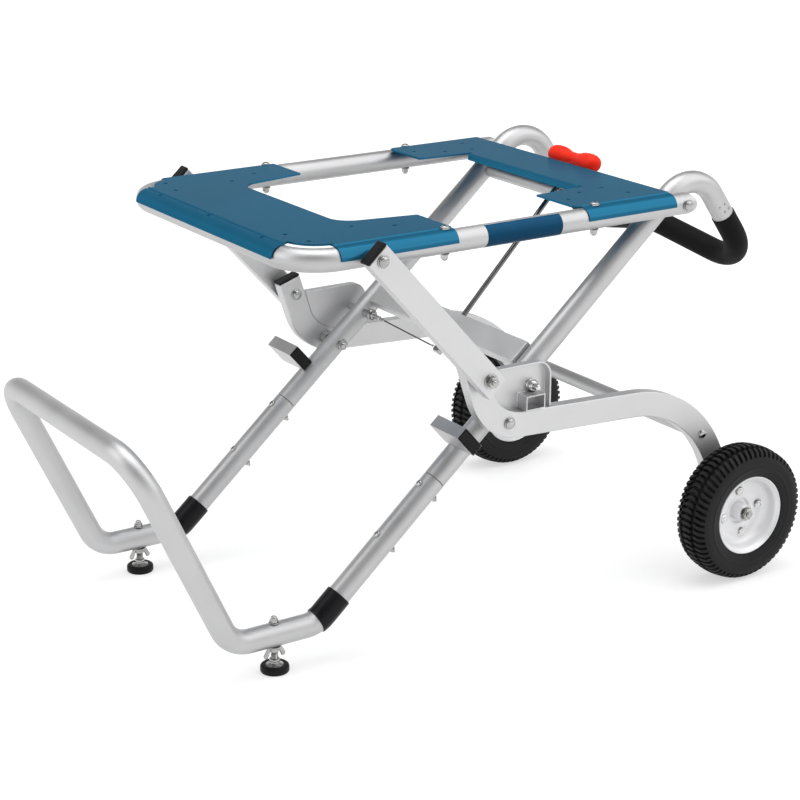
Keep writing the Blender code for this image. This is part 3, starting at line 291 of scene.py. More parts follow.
def fillet(corners, radii, turn=5.0):
    """Points of a path whose inner corners are rounded by arcs of the given radii."""
    path = [Vector(corners[0])]
    for i in range(1, len(corners) - 1):
        a, b, c = (Vector(corners[j]) for j in (i - 1, i, i + 1))
        u, w = (a - b).normalized(), (c - b).normalized()
        swing = pi - u.angle(w)
        reach = radii[i - 1] * tan(swing / 2)
        centre = b + (u + w).normalized() * (radii[i - 1] / cos(swing / 2))
        start, steps = b + u * reach - centre, max(2, ceil(swing / (turn * DEG)))
        across = (-u - start.normalized() * (-u).dot(start.normalized())).normalized() * radii[i - 1]
        for k in range(steps + 1):
            t = swing * k / steps
            path.append(centre + start * cos(t) + across * sin(t))
    path.append(Vector(corners[-1]))
    return path


def ringed(path, rings, sides, loop=False):
    """Rings of the given radii at places on a path, joined in order: a loop, or with its ends capped."""
    path = [Vector(p) for p in path]
    lead = (path[1] - path[0]).normalized()
    side = Vector((1, 0, 0)) if abs(lead.y) > 0.9 else Vector((0, 1, 0))
    poses = []
    for i, p in enumerate(path):
        before, after = path[max(i - 1, 0)], path[min(i + 1, len(path) - 1)]
        now = ((p - before).normalized() + (after - p).normalized()).normalized()
        side = (side - now * side.dot(now)).normalized()
        poses.append((p, side, now.cross(side)))
    points, turns = [], [2 * pi * k / sides for k in range(sides)]
    for i, r in rings:
        p, u, w = poses[i]
        points += [p + (u * cos(t) + w * sin(t)) * r for t in turns]
    count = len(rings)
    faces = rows_joined(count, sides, loop)
    if not loop:
        faces += [tuple(range(sides)), tuple(range((count - 1) * sides, count * sides))]
    return points, faces


def eased(path, by):
    """A path with one point more near each end, for a rounded edge there."""
    path = [Vector(p) for p in path]
    first = path[0] + (path[1] - path[0]).normalized() * by
    last = path[-1] + (path[-2] - path[-1]).normalized() * by
    return [path[0], first] + path[1:-1] + [last, path[-1]]


def tube(path, radius, sides=TUBE_SIDES, chamfer=TUBE_CHAMFER):
    path = eased(path, chamfer)
    radii = [radius - chamfer] + [radius] * (len(path) - 2) + [radius - chamfer]
    return ringed(path, list(enumerate(radii)), sides)


def sleeve(path, inner, outer, lip, sides=TUBE_SIDES):
    """A hollow tube over another, with rounded rims."""
    path = eased(path, lip)
    last = len(path) - 1
    skin = [(0, outer - lip)] + [(i, outer) for i in range(1, last)] + [(last, outer - lip)]
    bore = [(i, inner) for i in range(last, -1, -1)]
    return ringed(path, skin + bore, sides, True)


def lathe(profile, origin, axis=(0, 1, 0), sides=ROUND_SIDES, loop=False, turn=0.0):
    """A body turned about an axis through origin. Profile: (radius, distance along the axis)."""
    axis, origin = Vector(axis).normalized(), Vector(origin)
    u = axis.orthogonal().normalized()
    w = axis.cross(u)
    points, faces, rows = [], [], []
    for r, t in profile:
        if r < 1e-9:
            rows.append([len(points)])
            points.append(origin + axis * t)
            continue
        rows.append(list(range(len(points), len(points) + sides)))
        for k in range(sides):
            a = 2 * pi * k / sides + turn * DEG
            points.append(origin + axis * t + (u * cos(a) + w * sin(a)) * r)
    for a, b in list(zip(rows, rows[1:])) + ([(rows[-1], rows[0])] if loop else []):
        for k in range(sides):
            n = (k + 1) % sides
            quad = (a[k % len(a)], a[n % len(a)], b[n % len(b)], b[k % len(b)])
            faces.append(tuple(dict.fromkeys(quad)))
    if not loop:
        faces += [tuple(row) for row in (rows[0], rows[-1]) if len(row) > 2]
    return points, faces


def washer(origin, axis, inner, outer, thick):
    edge = thick * WASHER_EDGE
    return lathe([(inner, 0), (outer - edge, 0), (outer, edge), (outer, thick - edge), (outer - edge, thick),
                  (inner, thick)], origin, axis, loop=True)


def dome(origin, axis, radius, high, bore=0.0):
    """A rounded bolt head on origin: a short wall, a shallow cap, and a key hole if it has a bore."""
    wall = high * HEAD_WALL
    turns = [t * DEG for t in range(0, 90, 10) if radius * cos(t * DEG) > bore]
    cap = [(radius * cos(t), wall + (high - wall) * sin(t)) for t in turns]
    hole = [(bore, high * 0.97), (bore * 0.9, high * 0.35), (0, high * 0.3)]
    foot = [(radius - HEAD_EDGE, 0), (radius, HEAD_EDGE)]
    return lathe(foot + cap + (hole if bore else [(0, high)]), origin, axis)


def hexagon(origin, axis, across, low, high, turn=0.0):
    """A nut or bolt head with its corners turned off."""
    r, cut_by = across / sqrt(3), across * HEX_CUT
    profile = [(r * HEX_FACE, low), (r, low + cut_by), (r, high - cut_by), (r * HEX_FACE, high)]
    return lathe(profile, origin, axis, 6, turn=turn)


def threaded(origin, axis, radius, low, high):
    """A screw end: ridges along it, and a small chamfer at the tip."""
    count = max(1, int((high - low) / THREAD_PITCH))
    root, step = radius * THREAD_ROOT, (high - low) / count
    profile = [(root, low)]
    for k in range(count):
        start = low + step * k
        profile += [(radius, start + step * 0.45), (radius, start + step * 0.55), (root, start + step)]
    return lathe(profile + [(radius * THREAD_TIP, high + THREAD_END)], origin, axis, THREAD_SIDES)


def nut(origin, axis, bore, outer, thick, across, top, thread=0.0, tip=0.0, turn=0.0):
    """A nut or hex head on its washer, with the thread's end standing out where it has one."""
    parts = [washer(origin, axis, bore, outer, thick), hexagon(origin, axis, across, thick, top, turn)]
    if thread:
        parts.append(threaded(origin, axis, thread, top, tip))
    return joined(*parts)


def head(xz, y, side, way=1, radius=HEAD_R, high=HEAD_H):
    """A dome head on its washer that faces out, or in where way is -1."""
    spot, over, axis = at(xz, y * side), at(xz, (y + WASHER_T * way) * side), (0, side * way, 0)
    cap = dome(over, axis, radius * HEAD_SHARE, high - WASHER_T)
    return joined(washer(spot, axis, PIVOT_R, radius, WASHER_T), cap)


def pin(xz, side, steps, sides=PIN_SIDES):
    """A turned pin across the frame from (radius, from, to) steps, with small chamfers."""
    profile = [q for r, a, b in steps
               for q in ((r - PIN_EDGE, a), (r, a + PIN_EDGE), (r, b - PIN_EDGE), (r - PIN_EDGE, b))]
    return lathe(profile, at(xz, 0.0), (0, side, 0), sides)


def pivot(xz, side, near, far, radius=PIVOT_R, spacer=SPACER_R, inner_nut=()):
    """A bolt through two parts, with a spacer between them, a head outside, and a head or nut inside."""
    (a, b), (c, d) = near, far
    steps = [(radius, a - GAP, b + GAP), (spacer, b + GAP, c - GAP), (radius, c - GAP, d + GAP)]
    inside = head(xz, a - GAP, side, -1)
    if inner_nut:
        inside = nut(at(xz, (a - GAP) * side), (0, -side, 0), *inner_nut)
    return joined(pin(xz, side, steps), head(xz, d + GAP, side), inside)


def prism(outline, low, high):
    """An (x, z) outline pulled along Y."""
    n = len(outline)
    points = [(x, low, z) for x, z in outline] + [(x, high, z) for x, z in outline]
    faces = [tuple(range(n)), tuple(range(n, 2 * n))]
    return points, faces + [(i, n + i, n + (i + 1) % n, (i + 1) % n) for i in range(n)]


def beam(start, end, width, low, high):
    """A flat-sided bar between two (x, z) ends of its centre line."""
    run = heading(start, end) * (width / 2)
    return prism([(start[0] - run.z, start[1] + run.x), (end[0] - run.z, end[1] + run.x),
                  (end[0] + run.z, end[1] - run.x), (start[0] + run.z, start[1] - run.x)], low, high)


def offset(path, by):
    """(x, z) points beside a path of (x, z) points."""
    out = []
    for i, p in enumerate(path):
        t = (heading(path[max(i - 1, 0)], p) + heading(p, path[min(i + 1, len(path) - 1)])).normalized()
        out.append((p[0] - t.z * by, p[1] + t.x * by))
    return out


def arc(cx, cy, radius, start, end, steps):
    turns = [(start + (end - start) * k / steps) * DEG for k in range(steps + 1)]
    return [(cx + radius * cos(t), cy + radius * sin(t)) for t in turns]


# pieces: objects made from shapes

def linked(name, data):
    obj = bpy.data.objects.new(name, data)
    bpy.context.scene.collection.objects.link(obj)
    return obj


def from_bmesh(name, work):
    mesh = bpy.data.meshes.new(name)
    work.to_mesh(mesh)
    work.free()
    return linked(name, mesh)


def solid(name, shape):
    """An object from (points, faces), its faces turned out."""
    points, faces = shape
    work = bmesh.new()
    made = [work.verts.new((x + SHIFT, y, z)) for x, y, z in points]
    for f in faces:
        work.faces.new([made[i] for i in f])
    bmesh.ops.recalc_face_normals(work, faces=work.faces)
    return from_bmesh(name, work)


def settle(obj):
    """Applies the modifiers, so the mesh is the final one."""
    mesh = bpy.data.meshes.new_from_object(obj.evaluated_get(bpy.context.evaluated_depsgraph_get()))
    obj.modifiers.clear()
    obj.data = mesh


def cut(obj, shape):
    tool = solid(obj.name + "_cutter", shape)
    step = obj.modifiers.new("cut", "BOOLEAN")
    step.operation, step.solver, step.object = "DIFFERENCE", "EXACT", tool
    settle(obj)
    bpy.data.objects.remove(tool, do_unlink=True)


def rounded(obj, width, segments=3, angle=40.0):
    step = obj.modifiers.new("edges", "BEVEL")
    step.width, step.segments, step.limit_method, step.angle_limit = width, segments, "ANGLE", angle * DEG
    settle(obj)


def thickened(obj, thick, side, group=""):
    step = obj.modifiers.new("wall", "SOLIDIFY")
    step.thickness, step.offset, step.use_even_offset, step.vertex_group = thick, side, True, group
    settle(obj)


def hollow_end(obj, where, depth):
    """Opens the flat end of a box tube that faces a direction: an inset wall and a dark bore."""
    work = bmesh.new()
    work.from_mesh(obj.data)
    work.faces.ensure_lookup_table()
    aim = Vector(where)
    end = max(work.faces, key=lambda f: f.normal.dot(aim) * (1.0 + f.calc_area()))
    bmesh.ops.inset_region(work, faces=[end], thickness=BOX_WALL, use_even_offset=True)
    bmesh.ops.translate(work, verts=end.verts, vec=-aim * depth)
    work.to_mesh(obj.data)
    work.free()


def smooth(mesh, angle=35.0):
    mesh.polygons.foreach_set("use_smooth", [True] * len(mesh.polygons))
    mesh.set_sharp_from_angle(angle=angle * DEG)


def coat(obj, look):
    """A look's material on an object."""
    material, slot = LOOKS[look]
    obj.data.materials.clear()
    obj.data.materials.append(material)


def dress(obj, look, body, cad="", angle=35.0, flat=False):
    """Shading, finish, the body that carries the piece, and the CAD node it stands for, if any."""
    smooth(obj.data, angle)
    if flat:
        step = obj.modifiers.new("flat faces", "WEIGHTED_NORMAL")
        step.keep_sharp, step.weight = True, 80
        settle(obj)
    coat(obj, look)
    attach(obj, body)
    if cad:
        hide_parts(cad)


def piece(name, shape, look, body, cad="", edge=0.0, angle=35.0):
    obj = solid(name, shape)
    if edge:
        rounded(obj, edge)
    dress(obj, look, body, cad, angle, edge > 0)


def box_tube(name, shape, ends, depth, look, body, cad, edge=BOX_EDGE, segments=3):
    """A flat-sided tube, open at the ends that face the given ways."""
    obj = solid(name, shape)
    for way in ends:
        hollow_end(obj, way, depth)
    rounded(obj, edge, segments, 60.0)
    dress(obj, look, body, cad, 30.0, True)


# legs and handle
arch, drop = on_leg(ARCH_S), (cos(DROP_ANGLE * DEG), -sin(DROP_ANGLE * DEG))


def down(t):
    return (arch[0] + drop[0] * t, arch[1] + drop[1] * t)


low_bend, mid_bend, leg_foot = down(DROP_L), down(DROP_L - BAR_RISE), on_leg(SEAM_S + SEAM_GAP / 2)
handle_turns = [ARCH_R, DROP_R, MID_R, DROP_R, ARCH_R]
handle_path = fillet(both_ways([leg_foot, arch, low_bend], LEG_Y, [mid_bend]), handle_turns)
grip_path = fillet(both_ways([down(GRIP_FROM), low_bend], LEG_Y, [mid_bend]), handle_turns[1:4])
piece("leg_and_handle_tube", tube(handle_path, LEG_R), "tube", "leg_frame", "leg_handle_tube")
piece("foam_grip", sleeve(grip_path, LEG_R + GAP, LEG_R + GAP + GRIP_WALL, GRIP_LIP), "grip", "leg_frame",
      "handle_grip")

# foot bar, collars, lower legs
ankle_s = (FOOT_Z - LEG_REF_Z) / SA
toe_x = CROSS_X + (CROSS_Z - FOOT_Z) / tan(FOOT_RISE * DEG)
foot_top = on_leg(FOOT_SEAM_S - SEAM_GAP / 2)
foot_path = fillet(both_ways([foot_top, on_leg(ankle_s), (toe_x, FOOT_Z), (CROSS_X, CROSS_Z)], LEG_Y),
                   [ANKLE_R, TOE_R, CROSS_R, CROSS_R, TOE_R, ANKLE_R])
piece("foot_bar_tube", tube(foot_path, FOOT_R), "foot", "leg_frame", "foot_bar")
collar_in = max(FOOT_R, LEG_R) + GAP
collar_end = next(i for i, p in enumerate(foot_path) if i > 2 and (foot_path[1] - p).length > COLLAR_OVER)
collar_path = [at(on_leg(COLLAR_S), LEG_Y)] + [(p.x, -p.y, p.z) for p in foot_path[1:collar_end + 1]]


def leg_bolt(s, side):
    """A bolt through the leg, square to it: a dome head above, a nut and thread end below."""
    top, low = at(on_leg(s, LEG_R), LEG_Y * side), at(on_leg(s, -LEG_R), LEG_Y * side)
    return joined(nut(low, (SA, 0.0, -CA), *LEG_NUT), dome(top, (-SA, 0.0, CA), *LEG_HEAD))


for tag, side, hand in BOTH:
    seams = SEAM_S - SEAM_GAP / 2, FOOT_SEAM_S + SEAM_GAP / 2
    lower_leg = tube([at(on_leg(s), LEG_Y * side) for s in seams], LEG_R)
    piece("lower_leg_tube" + tag, lower_leg, "tube", "leg_frame", "lower_leg" + tag)
    collar = mirrored(sleeve(collar_path, collar_in, collar_in + COLLAR_WALL, COLLAR_LIP), side)
    piece("collar_sleeve" + tag, collar, "collar", "leg_frame", "leg_collar" + tag)
    piece("leg_bolts" + tag, joined(*[leg_bolt(s, side) for s in LEG_BOLTS_S]), "steel", "leg_frame")

# levelling feet: (radius, height) profiles of the pad, the cup on it, the acorn nut and the wing nut's hub
PAD_R, PAD_H, PAD_SIDES, ACORN_Z, WING_Z = 0.02025, 0.011, 56, FOOT_Z + FOOT_R, FOOT_Z - FOOT_R
PAD = [(0, 0.0), (PAD_R - 0.0022, 0.0), (PAD_R - 0.0008, 0.0006), (PAD_R, 0.0020), (PAD_R, PAD_H - 0.0034),
       (PAD_R - 0.0006, PAD_H - 0.0016), (PAD_R - 0.0020, PAD_H - 0.0004), (PAD_R - 0.0034, PAD_H),
       (0.0138, PAD_H - 0.0004), (0.0130, PAD_H - 0.0016), (0, PAD_H - 0.0016)]
CUP = [(r, PAD_H + z) for r, z in (
    (0.0128, -0.0012), (0.0126, -0.0004), (0.0085, 0.0006), (0.0062, 0.0024), (0.0058, 0.0040),
    (0.0072, 0.0046), (0.0074, 0.0054), (0.0074, 0.0076), (0.0070, 0.0082), (STUD_R - 0.0008, 0.0084))]
SHANK_FROM, SHANK_TO = PAD_H + 0.0040, ACORN_Z + 0.0006
ACORN_R, ACORN_WALL, ACORN_RISE = 0.0046, 0.0066, 0.0042
ACORN = [(0.0050, 0.0050)]
ACORN += [(ACORN_R * cos(t * DEG), ACORN_WALL + ACORN_RISE * sin(t * DEG)) for t in range(0, 90, 10)]
ACORN += [(0, ACORN_WALL + ACORN_RISE)]
WING_HUB = [(STUD_R + r, z) for r, z in (
    (0.0004, -0.0078), (0.0016, -0.0078), (0.0024, -0.0070), (0.0030, -0.0034), (0.0024, -0.0028),
    (0.0038, -0.0022), (0.0038, -0.0006), (0.0032, -GAP), (0.0004, -GAP))]
WING_SPAN, WING_H, WING_T, EAR_R, EAR_DROP = 0.034, 0.0145, 0.0030, 0.0038, 0.0012
EAR = [(STUD_R + 0.0014, -0.0052), (STUD_R + 0.0018, -0.0012), (STUD_R + 0.0052, -0.0008)]
EAR += arc(WING_SPAN / 2 - EAR_R, -WING_H + EAR_DROP, EAR_R, 22, -128, 10)
for tag, side, hand in BOTH:
    y, body = LEG_Y * side, "foot_" + hand
    base, seat = (FOOT_X, y, 0.0), (FOOT_X, y, ACORN_Z + GAP)
    piece("foot_pad" + tag, lathe(PAD, base, UP, PAD_SIDES), "plastic", body, "level_foot" + tag)
    stud = joined(lathe(CUP, base, UP), threaded(base, UP, STUD_R, SHANK_FROM, SHANK_TO))
    piece("foot_stud" + tag, stud, "steel", body)
    piece("acorn_nut" + tag, joined(nut(seat, UP, *ACORN_NUT), lathe(ACORN, seat, UP)), "steel", body)
    hub = lathe(WING_HUB, (FOOT_X, y, WING_Z), UP, loop=True)
    piece("wing_nut_cast" + tag, hub, "steel", "leg_frame", "wing_nut" + tag)
    ears = [prism([(FOOT_X + way * x, WING_Z + z) for x, z in EAR], y - WING_T / 2, y + WING_T / 2)
            for way in (-1, 1)]
    piece("wing_blades" + tag, joined(*ears), "steel", "leg_frame", edge=BLADE_EDGE)

# bars between the legs, and the stops
inner, half = LEG_Y - LEG_R - GAP, BOX_W / 2
cross_bar = beam(on_leg(BAR_S - half, BAR_N), on_leg(BAR_S + half, BAR_N), BOX_T, -inner, inner)
piece("flat_cross_bar", cross_bar, "box", "leg_frame", "leg_cross_bar", BOX_EDGE)
top_ends = [at(on_leg(TOP_TUBE_S, TOP_TUBE_N), y) for y in (-inner, inner)]
piece("upper_cross_tube", tube(top_ends, TOP_TUBE_R), "tube", "leg_frame", "top_cross_tube")
stop_low = LEG_R + GAP
stop_ends = on_leg(STOP_S, stop_low), on_leg(STOP_S, stop_low + STOP_W)
plug_ends = on_leg(STOP_S, stop_low + BOX_WALL), on_leg(STOP_S, stop_low + STOP_W - BOX_WALL)
for tag, side, hand in BOTH:
    bar = mirrored(beam(*stop_ends, BOX_T, STOP_IN_Y, STOP_OUT_Y), side)
    box_tube("stop_bar" + tag, bar, [(0, -1, 0), (0, 1, 0)], CAP_T, "stop", "leg_frame", "stop_stub" + tag,
             BOX_WALL / 3, 2)
    for end, y0 in (("in", STOP_IN_Y + GAP), ("out", STOP_OUT_Y - CAP_T)):
        plug = mirrored(beam(*plug_ends, BOX_T - 2 * BOX_WALL, y0, y0 + CAP_T - GAP), side)
        piece("stop_plug_" + end + tag, plug, "plastic", "leg_frame", "stop_cap_" + end + tag, PLUG_EDGE)

# table rail: its ends run on a little, and are then cut round about the table pivot
RAIL_SPARE, RAIL_CUT = 0.004, 2 * RAIL_END
rail_tip = P1[0] + RAIL_END + RAIL_SPARE
rail_path = fillet(both_ways([(rail_tip, RAIL_Z), (FRONT_X, RAIL_Z)], RAIL_Y), [FRONT_R, FRONT_R], 4.0)
rail = solid("rail_tube", ringed(rail_path, [(i, RAIL_R) for i in range(len(rail_path))], TUBE_SIDES))
round_end = arc(P1[0], P1[1], RAIL_END, -80, 80, 24)
round_cut = [(round_end[0][0], P1[1] - RAIL_CUT)] + round_end + [(round_end[-1][0], P1[1] + RAIL_CUT)]
round_cut += [(P1[0] + RAIL_CUT, P1[1] + RAIL_CUT), (P1[0] + RAIL_CUT, P1[1] - RAIL_CUT)]
cut(rail, prism(round_cut, -RAIL_Y - 2 * RAIL_R, RAIL_Y + 2 * RAIL_R))
dress(rail, "tube", "table", "table_rail", 30.0)

# plates
SHEET_R = RAIL_R + GAP
SHEET_Z = RAIL_Z + SHEET_R
ROLL_STEPS, DRILL, DRILL_SIDES = 14, (-0.004, 0.012), 20
STEP_W, GROOVE_W, GROOVE_WALL, ROLL_WALL = 0.0011, 0.0016, 0.0013, 0.0017
RP_LEAD, RP_NOTCH_OUT = 0.012, 0.0005


def quarter(radius, start, wall):
    """(out, down, wall) steps of a quarter round that starts some way out."""
    turns = [90.0 * k / ROLL_STEPS * DEG for k in range(1, ROLL_STEPS + 1)]
    return [(start + radius * sin(t), radius * (cos(t) - 1), wall) for t in turns]


def sheet(name, outline, strips, holes, cad):
    """A flat face with strips bent down from some of its edges, made solid outwards and drilled."""
    work = bmesh.new()
    walls = work.verts.layers.deform.verify()
    top = [work.verts.new((x + SHIFT, y, SHEET_Z)) for x, y in outline]
    work.faces.new(top)
    for vert in top:
        vert[walls][0] = 1.0
    for (i, j), (dx, dy), steps in strips:
        edge = [top[i], top[j]]
        for out, down_by, wall in steps:
            move = Vector((dx * out, dy * out, down_by))
            new = [work.verts.new(top[k].co + move) for k in (i, j)]
            for vert in new:
                vert[walls][0] = wall / PLATE_T
            work.faces.new((edge[1], edge[0], new[0], new[1]))
            edge = new
    work.normal_update()
    obj = from_bmesh(name, work)
    thickened(obj, PLATE_T, 1.0, obj.vertex_groups.new(name="wall").name)
    drill = [(PLATE_HOLE_R, z) for z in DRILL]
    cut(obj, joined(*[lathe(drill, (x, y, SHEET_Z), UP, DRILL_SIDES) for x, y in holes]))
    rounded(obj, PLATE_EDGE, 2, 50.0)
    dress(obj, "blue", "table", cad, 30.0, True)


# a side edge steps down into a narrow groove before its roll; the throat's edge is one plain bend
CREASE_W = STEP_W + GROOVE_W
side_roll = [(STEP_W, 0.0, GROOVE_WALL), (CREASE_W, 0.0, ROLL_WALL)] + quarter(SHEET_R, CREASE_W, ROLL_WALL)
throat_bend = quarter(RP_BEND_R, 0.0, PLATE_T) + [(RP_BEND_R, -RP_FLANGE, PLATE_T)]
bend = (FRONT_X + FRONT_R, RAIL_Y - FRONT_R)
corner = arc(*bend, FRONT_R - FP_NOTCH, 170, 100, 18)
taper = [tuple(p[:2]) for p in fillet([(FP_END_X, FP_END_Y, 0), (FP_THROAT_X, FP_THROAT_Y, 0),
                                       (FP_THROAT_X, 0, 0)], [FP_INNER_R])]
front_x, side_y = FRONT_X + CREASE_W, RAIL_Y - CREASE_W
right = [(front_x, FP_CUT_Y)] + corner + [(FP_CUT_X, side_y), (FP_END_X, side_y)] + taper[:-1]
front_outline = list(reversed(right)) + [(x, -y) for x, y in right]
count, roll = len(right), 1 + len(corner)
front_rolls = [((count - 1, count), (-1, 0), side_roll),
               ((count - 2 - roll, count - 1 - roll), (0, 1), side_roll),
               ((count + roll, count + roll + 1), (0, -1), side_roll)]
front_holes = [(x, y * s) for x, y in FP_HOLES for s in (-1, 1)] + [(FP_MID_HOLE_X, 0.0)]
sheet("front_sheet", front_outline, front_rolls, front_holes, "front_plate")

throat_x, notch_y = RP_THROAT_X + RP_BEND_R, RP_THROAT_Y + RP_NOTCH
rear_right = [(RP_REAR_X, side_y), (RP_ROLL_X, side_y), (RP_END_X, RAIL_Y - RP_CORNER), (RP_END_X, RP_END_Y),
              (RP_THROAT_X - RP_LEAD, notch_y), (throat_x, notch_y)]
rear_right += arc(throat_x + RP_NOTCH_OUT, RP_THROAT_Y + RP_NOTCH / 2, RP_NOTCH / 2, 85, -85, 10)
rear_right += [(throat_x, RP_THROAT_Y)]
rear_outline = rear_right + [(x, -y) for x, y in reversed(rear_right)]
last = len(rear_outline) - 1
rear_holes = [(x, y * s) for x, y in RP_HOLES for s in (-1, 1)]
rear_strips = [((0, 1), (0, 1), side_roll), ((last - 1, last), (0, -1), side_roll),
               ((len(rear_right) - 1, len(rear_right)), (-1, 0), throat_bend)]
sheet("rear_sheet", rear_outline, rear_strips, rear_holes, "rear_plate")

# bolts through plate and rail: a socket head on its washer above, a nut and the bolt's round end below
PLATE_END_DROP = 0.0066
roll_top, rail_low = SHEET_Z + ROLL_WALL, RAIL_Z - RAIL_R
for tag, side, hand in BOTH:
    bolts, y = [], RAIL_Y * side
    for x in PLATE_BOLT_X:
        bolts += [washer((x, y, roll_top), UP, *TOP_WASHER),
                  dome((x, y, roll_top + TOP_WASHER[2]), UP, *PLATE_HEAD),
                  nut((x, y, rail_low), DOWN, *PLATE_NUT),
                  dome((x, y, rail_low - PLATE_END_DROP), DOWN, *PLATE_END)]
    piece("plate_bolts" + tag, joined(*bolts), "steel", "table")

# the bare label on the near rail: a thin strip round the tube, two points to a row, inner and outer skin
low_turn, high_turn = (asin(z / RAIL_R) for z in LABEL_Z)
turns = [low_turn + (high_turn - low_turn) * k / LABEL_STEPS for k in range(LABEL_STEPS + 1)]
skin = [(x, -RAIL_Y - r * cos(t), RAIL_Z + r * sin(t))
        for r in (RAIL_R, RAIL_R + LABEL_T) for t in turns for x in LABEL_X]
row = 2 * (LABEL_STEPS + 1)
strips = [(i + k, i + k + 1, i + k + 3, i + k + 2) for i in (0, row) for k in range(0, row - 2, 2)]
walls = [(k, k + 2, row + k + 2, row + k) for k in range(row - 2)]
ends = [(k, k + 1, row + k + 1, row + k) for k in (0, row - 2)]
piece("rail_label", (skin, strips + walls + ends), "label", "table")

# wheel arms with their webs
arm_line = [(p.x, p.z) for p in fillet([(x, 0, z) for x, z in ARM_CORNERS], ARM_RADII, 3.0)]
arm_left, arm_right = offset(arm_line, half), offset(arm_line, -half)
web_side = offset(arm_line, half + GAP)


def between(a, b, axis, value):
    """The (x, z) point of a line where x (axis 0) or z (axis 1) has a value."""
    t = (value - a[axis]) / (b[axis] - a[axis])
    return (a[0] + (b[0] - a[0]) * t, a[1] + (b[1] - a[1]) * t)


web_from = next(i for i, p in enumerate(web_side) if p[1] < WEB_TOP_Z)
web_to = next(i for i, p in enumerate(web_side) if p[0] > WEB_END_X)
web_start = between(web_side[web_from - 1], web_side[web_from], 1, WEB_TOP_Z)
web_stop = between(web_side[web_to - 1], web_side[web_to], 0, WEB_END_X)
web_corner = arc(WEB_END_X - WEB_R, WEB_TOP_Z - WEB_R, WEB_R, 0, 90, 18)
web_foot = web_side[web_from:web_to]
web_outline = [(web_start[0] + WEB_T / 2, web_start[1])] + web_foot + [web_stop] + web_corner
stub_left = STUB_X - STUB_W / 2
stub_under = next((a, b) for a, b in zip(arm_left, arm_left[1:]) if a[0] <= stub_left <= b[0])
STUB_Z = between(*stub_under, 0, stub_left)[1] + STUB_H / 2 + 2 * GAP
WELD_R, WELD_STEP, WELD_RIPPLE, WELD_BEAT, WELD_SIDES = 0.0013, 0.0012, 0.16, 1.9, 12


def web_panel(name, side):
    """The web's flat face, with a flange along its top and its rounded corner."""
    n, lip = len(web_outline), len(web_corner) + 1
    rim = [n - lip + k for k in range(lip)] + [0]
    points = [(x + SHIFT, ARM_IN_Y * side, z) for x, z in web_outline]
    points += [(web_outline[i][0] + SHIFT, (ARM_IN_Y + WEB_FLANGE) * side, web_outline[i][1]) for i in rim]
    faces = [tuple(range(n))] + [(rim[k + 1], rim[k], n + k, n + k + 1) for k in range(len(rim) - 1)]
    if side < 0:
        faces = [tuple(reversed(f)) for f in faces]
    mesh = bpy.data.meshes.new(name)
    mesh.from_pydata(points, [], faces)
    obj = linked(name, mesh)
    thickened(obj, WEB_T, -1.0)
    rounded(obj, WEB_EDGE, 3, 45.0)
    return obj


def weld(path, y):
    """A bead of small overlapping ripples along (x, z) points."""
    fine = []
    for a, b in zip(path, path[1:]):
        steps = max(1, round(dist(a, b) / WELD_STEP))
        shares = [k / steps for k in range(steps)]
        fine += [(a[0] + (b[0] - a[0]) * t, y, a[1] + (b[1] - a[1]) * t) for t in shares]
    rings = [(i, WELD_R * (1.0 + WELD_RIPPLE * sin(i * WELD_BEAT))) for i in range(len(fine))]
    return ringed(fine, rings, WELD_SIDES)


def stub_outline(inset):
    a, b = STUB_W / 2 - inset, STUB_H / 2 - inset
    return [(STUB_X + i * a, STUB_Z + j * b) for i, j in ((-1, -1), (1, -1), (1, 1), (-1, 1))]


link_run = heading(P3, P4)
cap_top, cap_low, link_top = (along(P3, link_run, d - LINK_OVER) for d in (0.0, CAP_T, CAP_T + GAP))
link_low = along(P4, link_run, LINK_TAIL)
arm_lead, arm_tail = heading(arm_line[0], arm_line[1]), heading(arm_line[-2], arm_line[-1])
arm_cap_ends = [along(arm_line[0], arm_lead, -d) for d in (CAP_T + GAP, GAP)]
arm_tube = tube([at(ARM_TUBE, -ARM_IN_Y + GAP), at(ARM_TUBE, ARM_IN_Y - GAP)], ARM_TUBE_R)
piece("lower_cross_tube", arm_tube, "tube", "wheel_frame", "arm_cross_tube")
stub_y = ARM_IN_Y + WEB_T
ARM_SPACER_R = SPACER_R + 0.001

# lock, as (radius, y) profiles: the pin's end in the web and its collar, the leg's ring, the sliding pin
seat_y, pin_end_y, neck_end = stub_y + GAP, stub_y + PIN_END_L, HOUSING_IN_Y - 0.004
collar_y, collar_r = seat_y + PIN_COLLAR_L, PIN_R + PIN_COLLAR + 0.0010
ring_in, ring_end = PIN_R + 0.0004, LEG_SPAN[0] + 0.002
PIN_TIP = [(PIN_R, ARM_IN_Y + GAP), (PIN_R, collar_y), (PIN_R - 0.0010, collar_y + 0.0006),
           (PIN_R - 0.0010, pin_end_y - 0.0014), (PIN_R - 0.0024, pin_end_y)]
TIP_COLLAR = [(PIN_R * 0.9, seat_y), (collar_r, seat_y), (collar_r, seat_y + 0.0014),
              (collar_r - 0.0007, seat_y + 0.0018), (collar_r - 0.0007, collar_y - 0.0024),
              (collar_r - 0.0012, collar_y - 0.0010), (collar_r - 0.0024, collar_y), (PIN_R * 0.9, collar_y)]
LOCK_RING = [(ring_in, HOUSING_IN_Y), (HOUSING_R - 0.0012, HOUSING_IN_Y), (HOUSING_R, HOUSING_IN_Y + 0.0012),
             (HOUSING_R, HOUSING_IN_Y + 0.0050), (HOUSING_R - 0.0008, HOUSING_IN_Y + 0.0056),
             (HOUSING_R - 0.0008, ring_end), (ring_in, ring_end)]
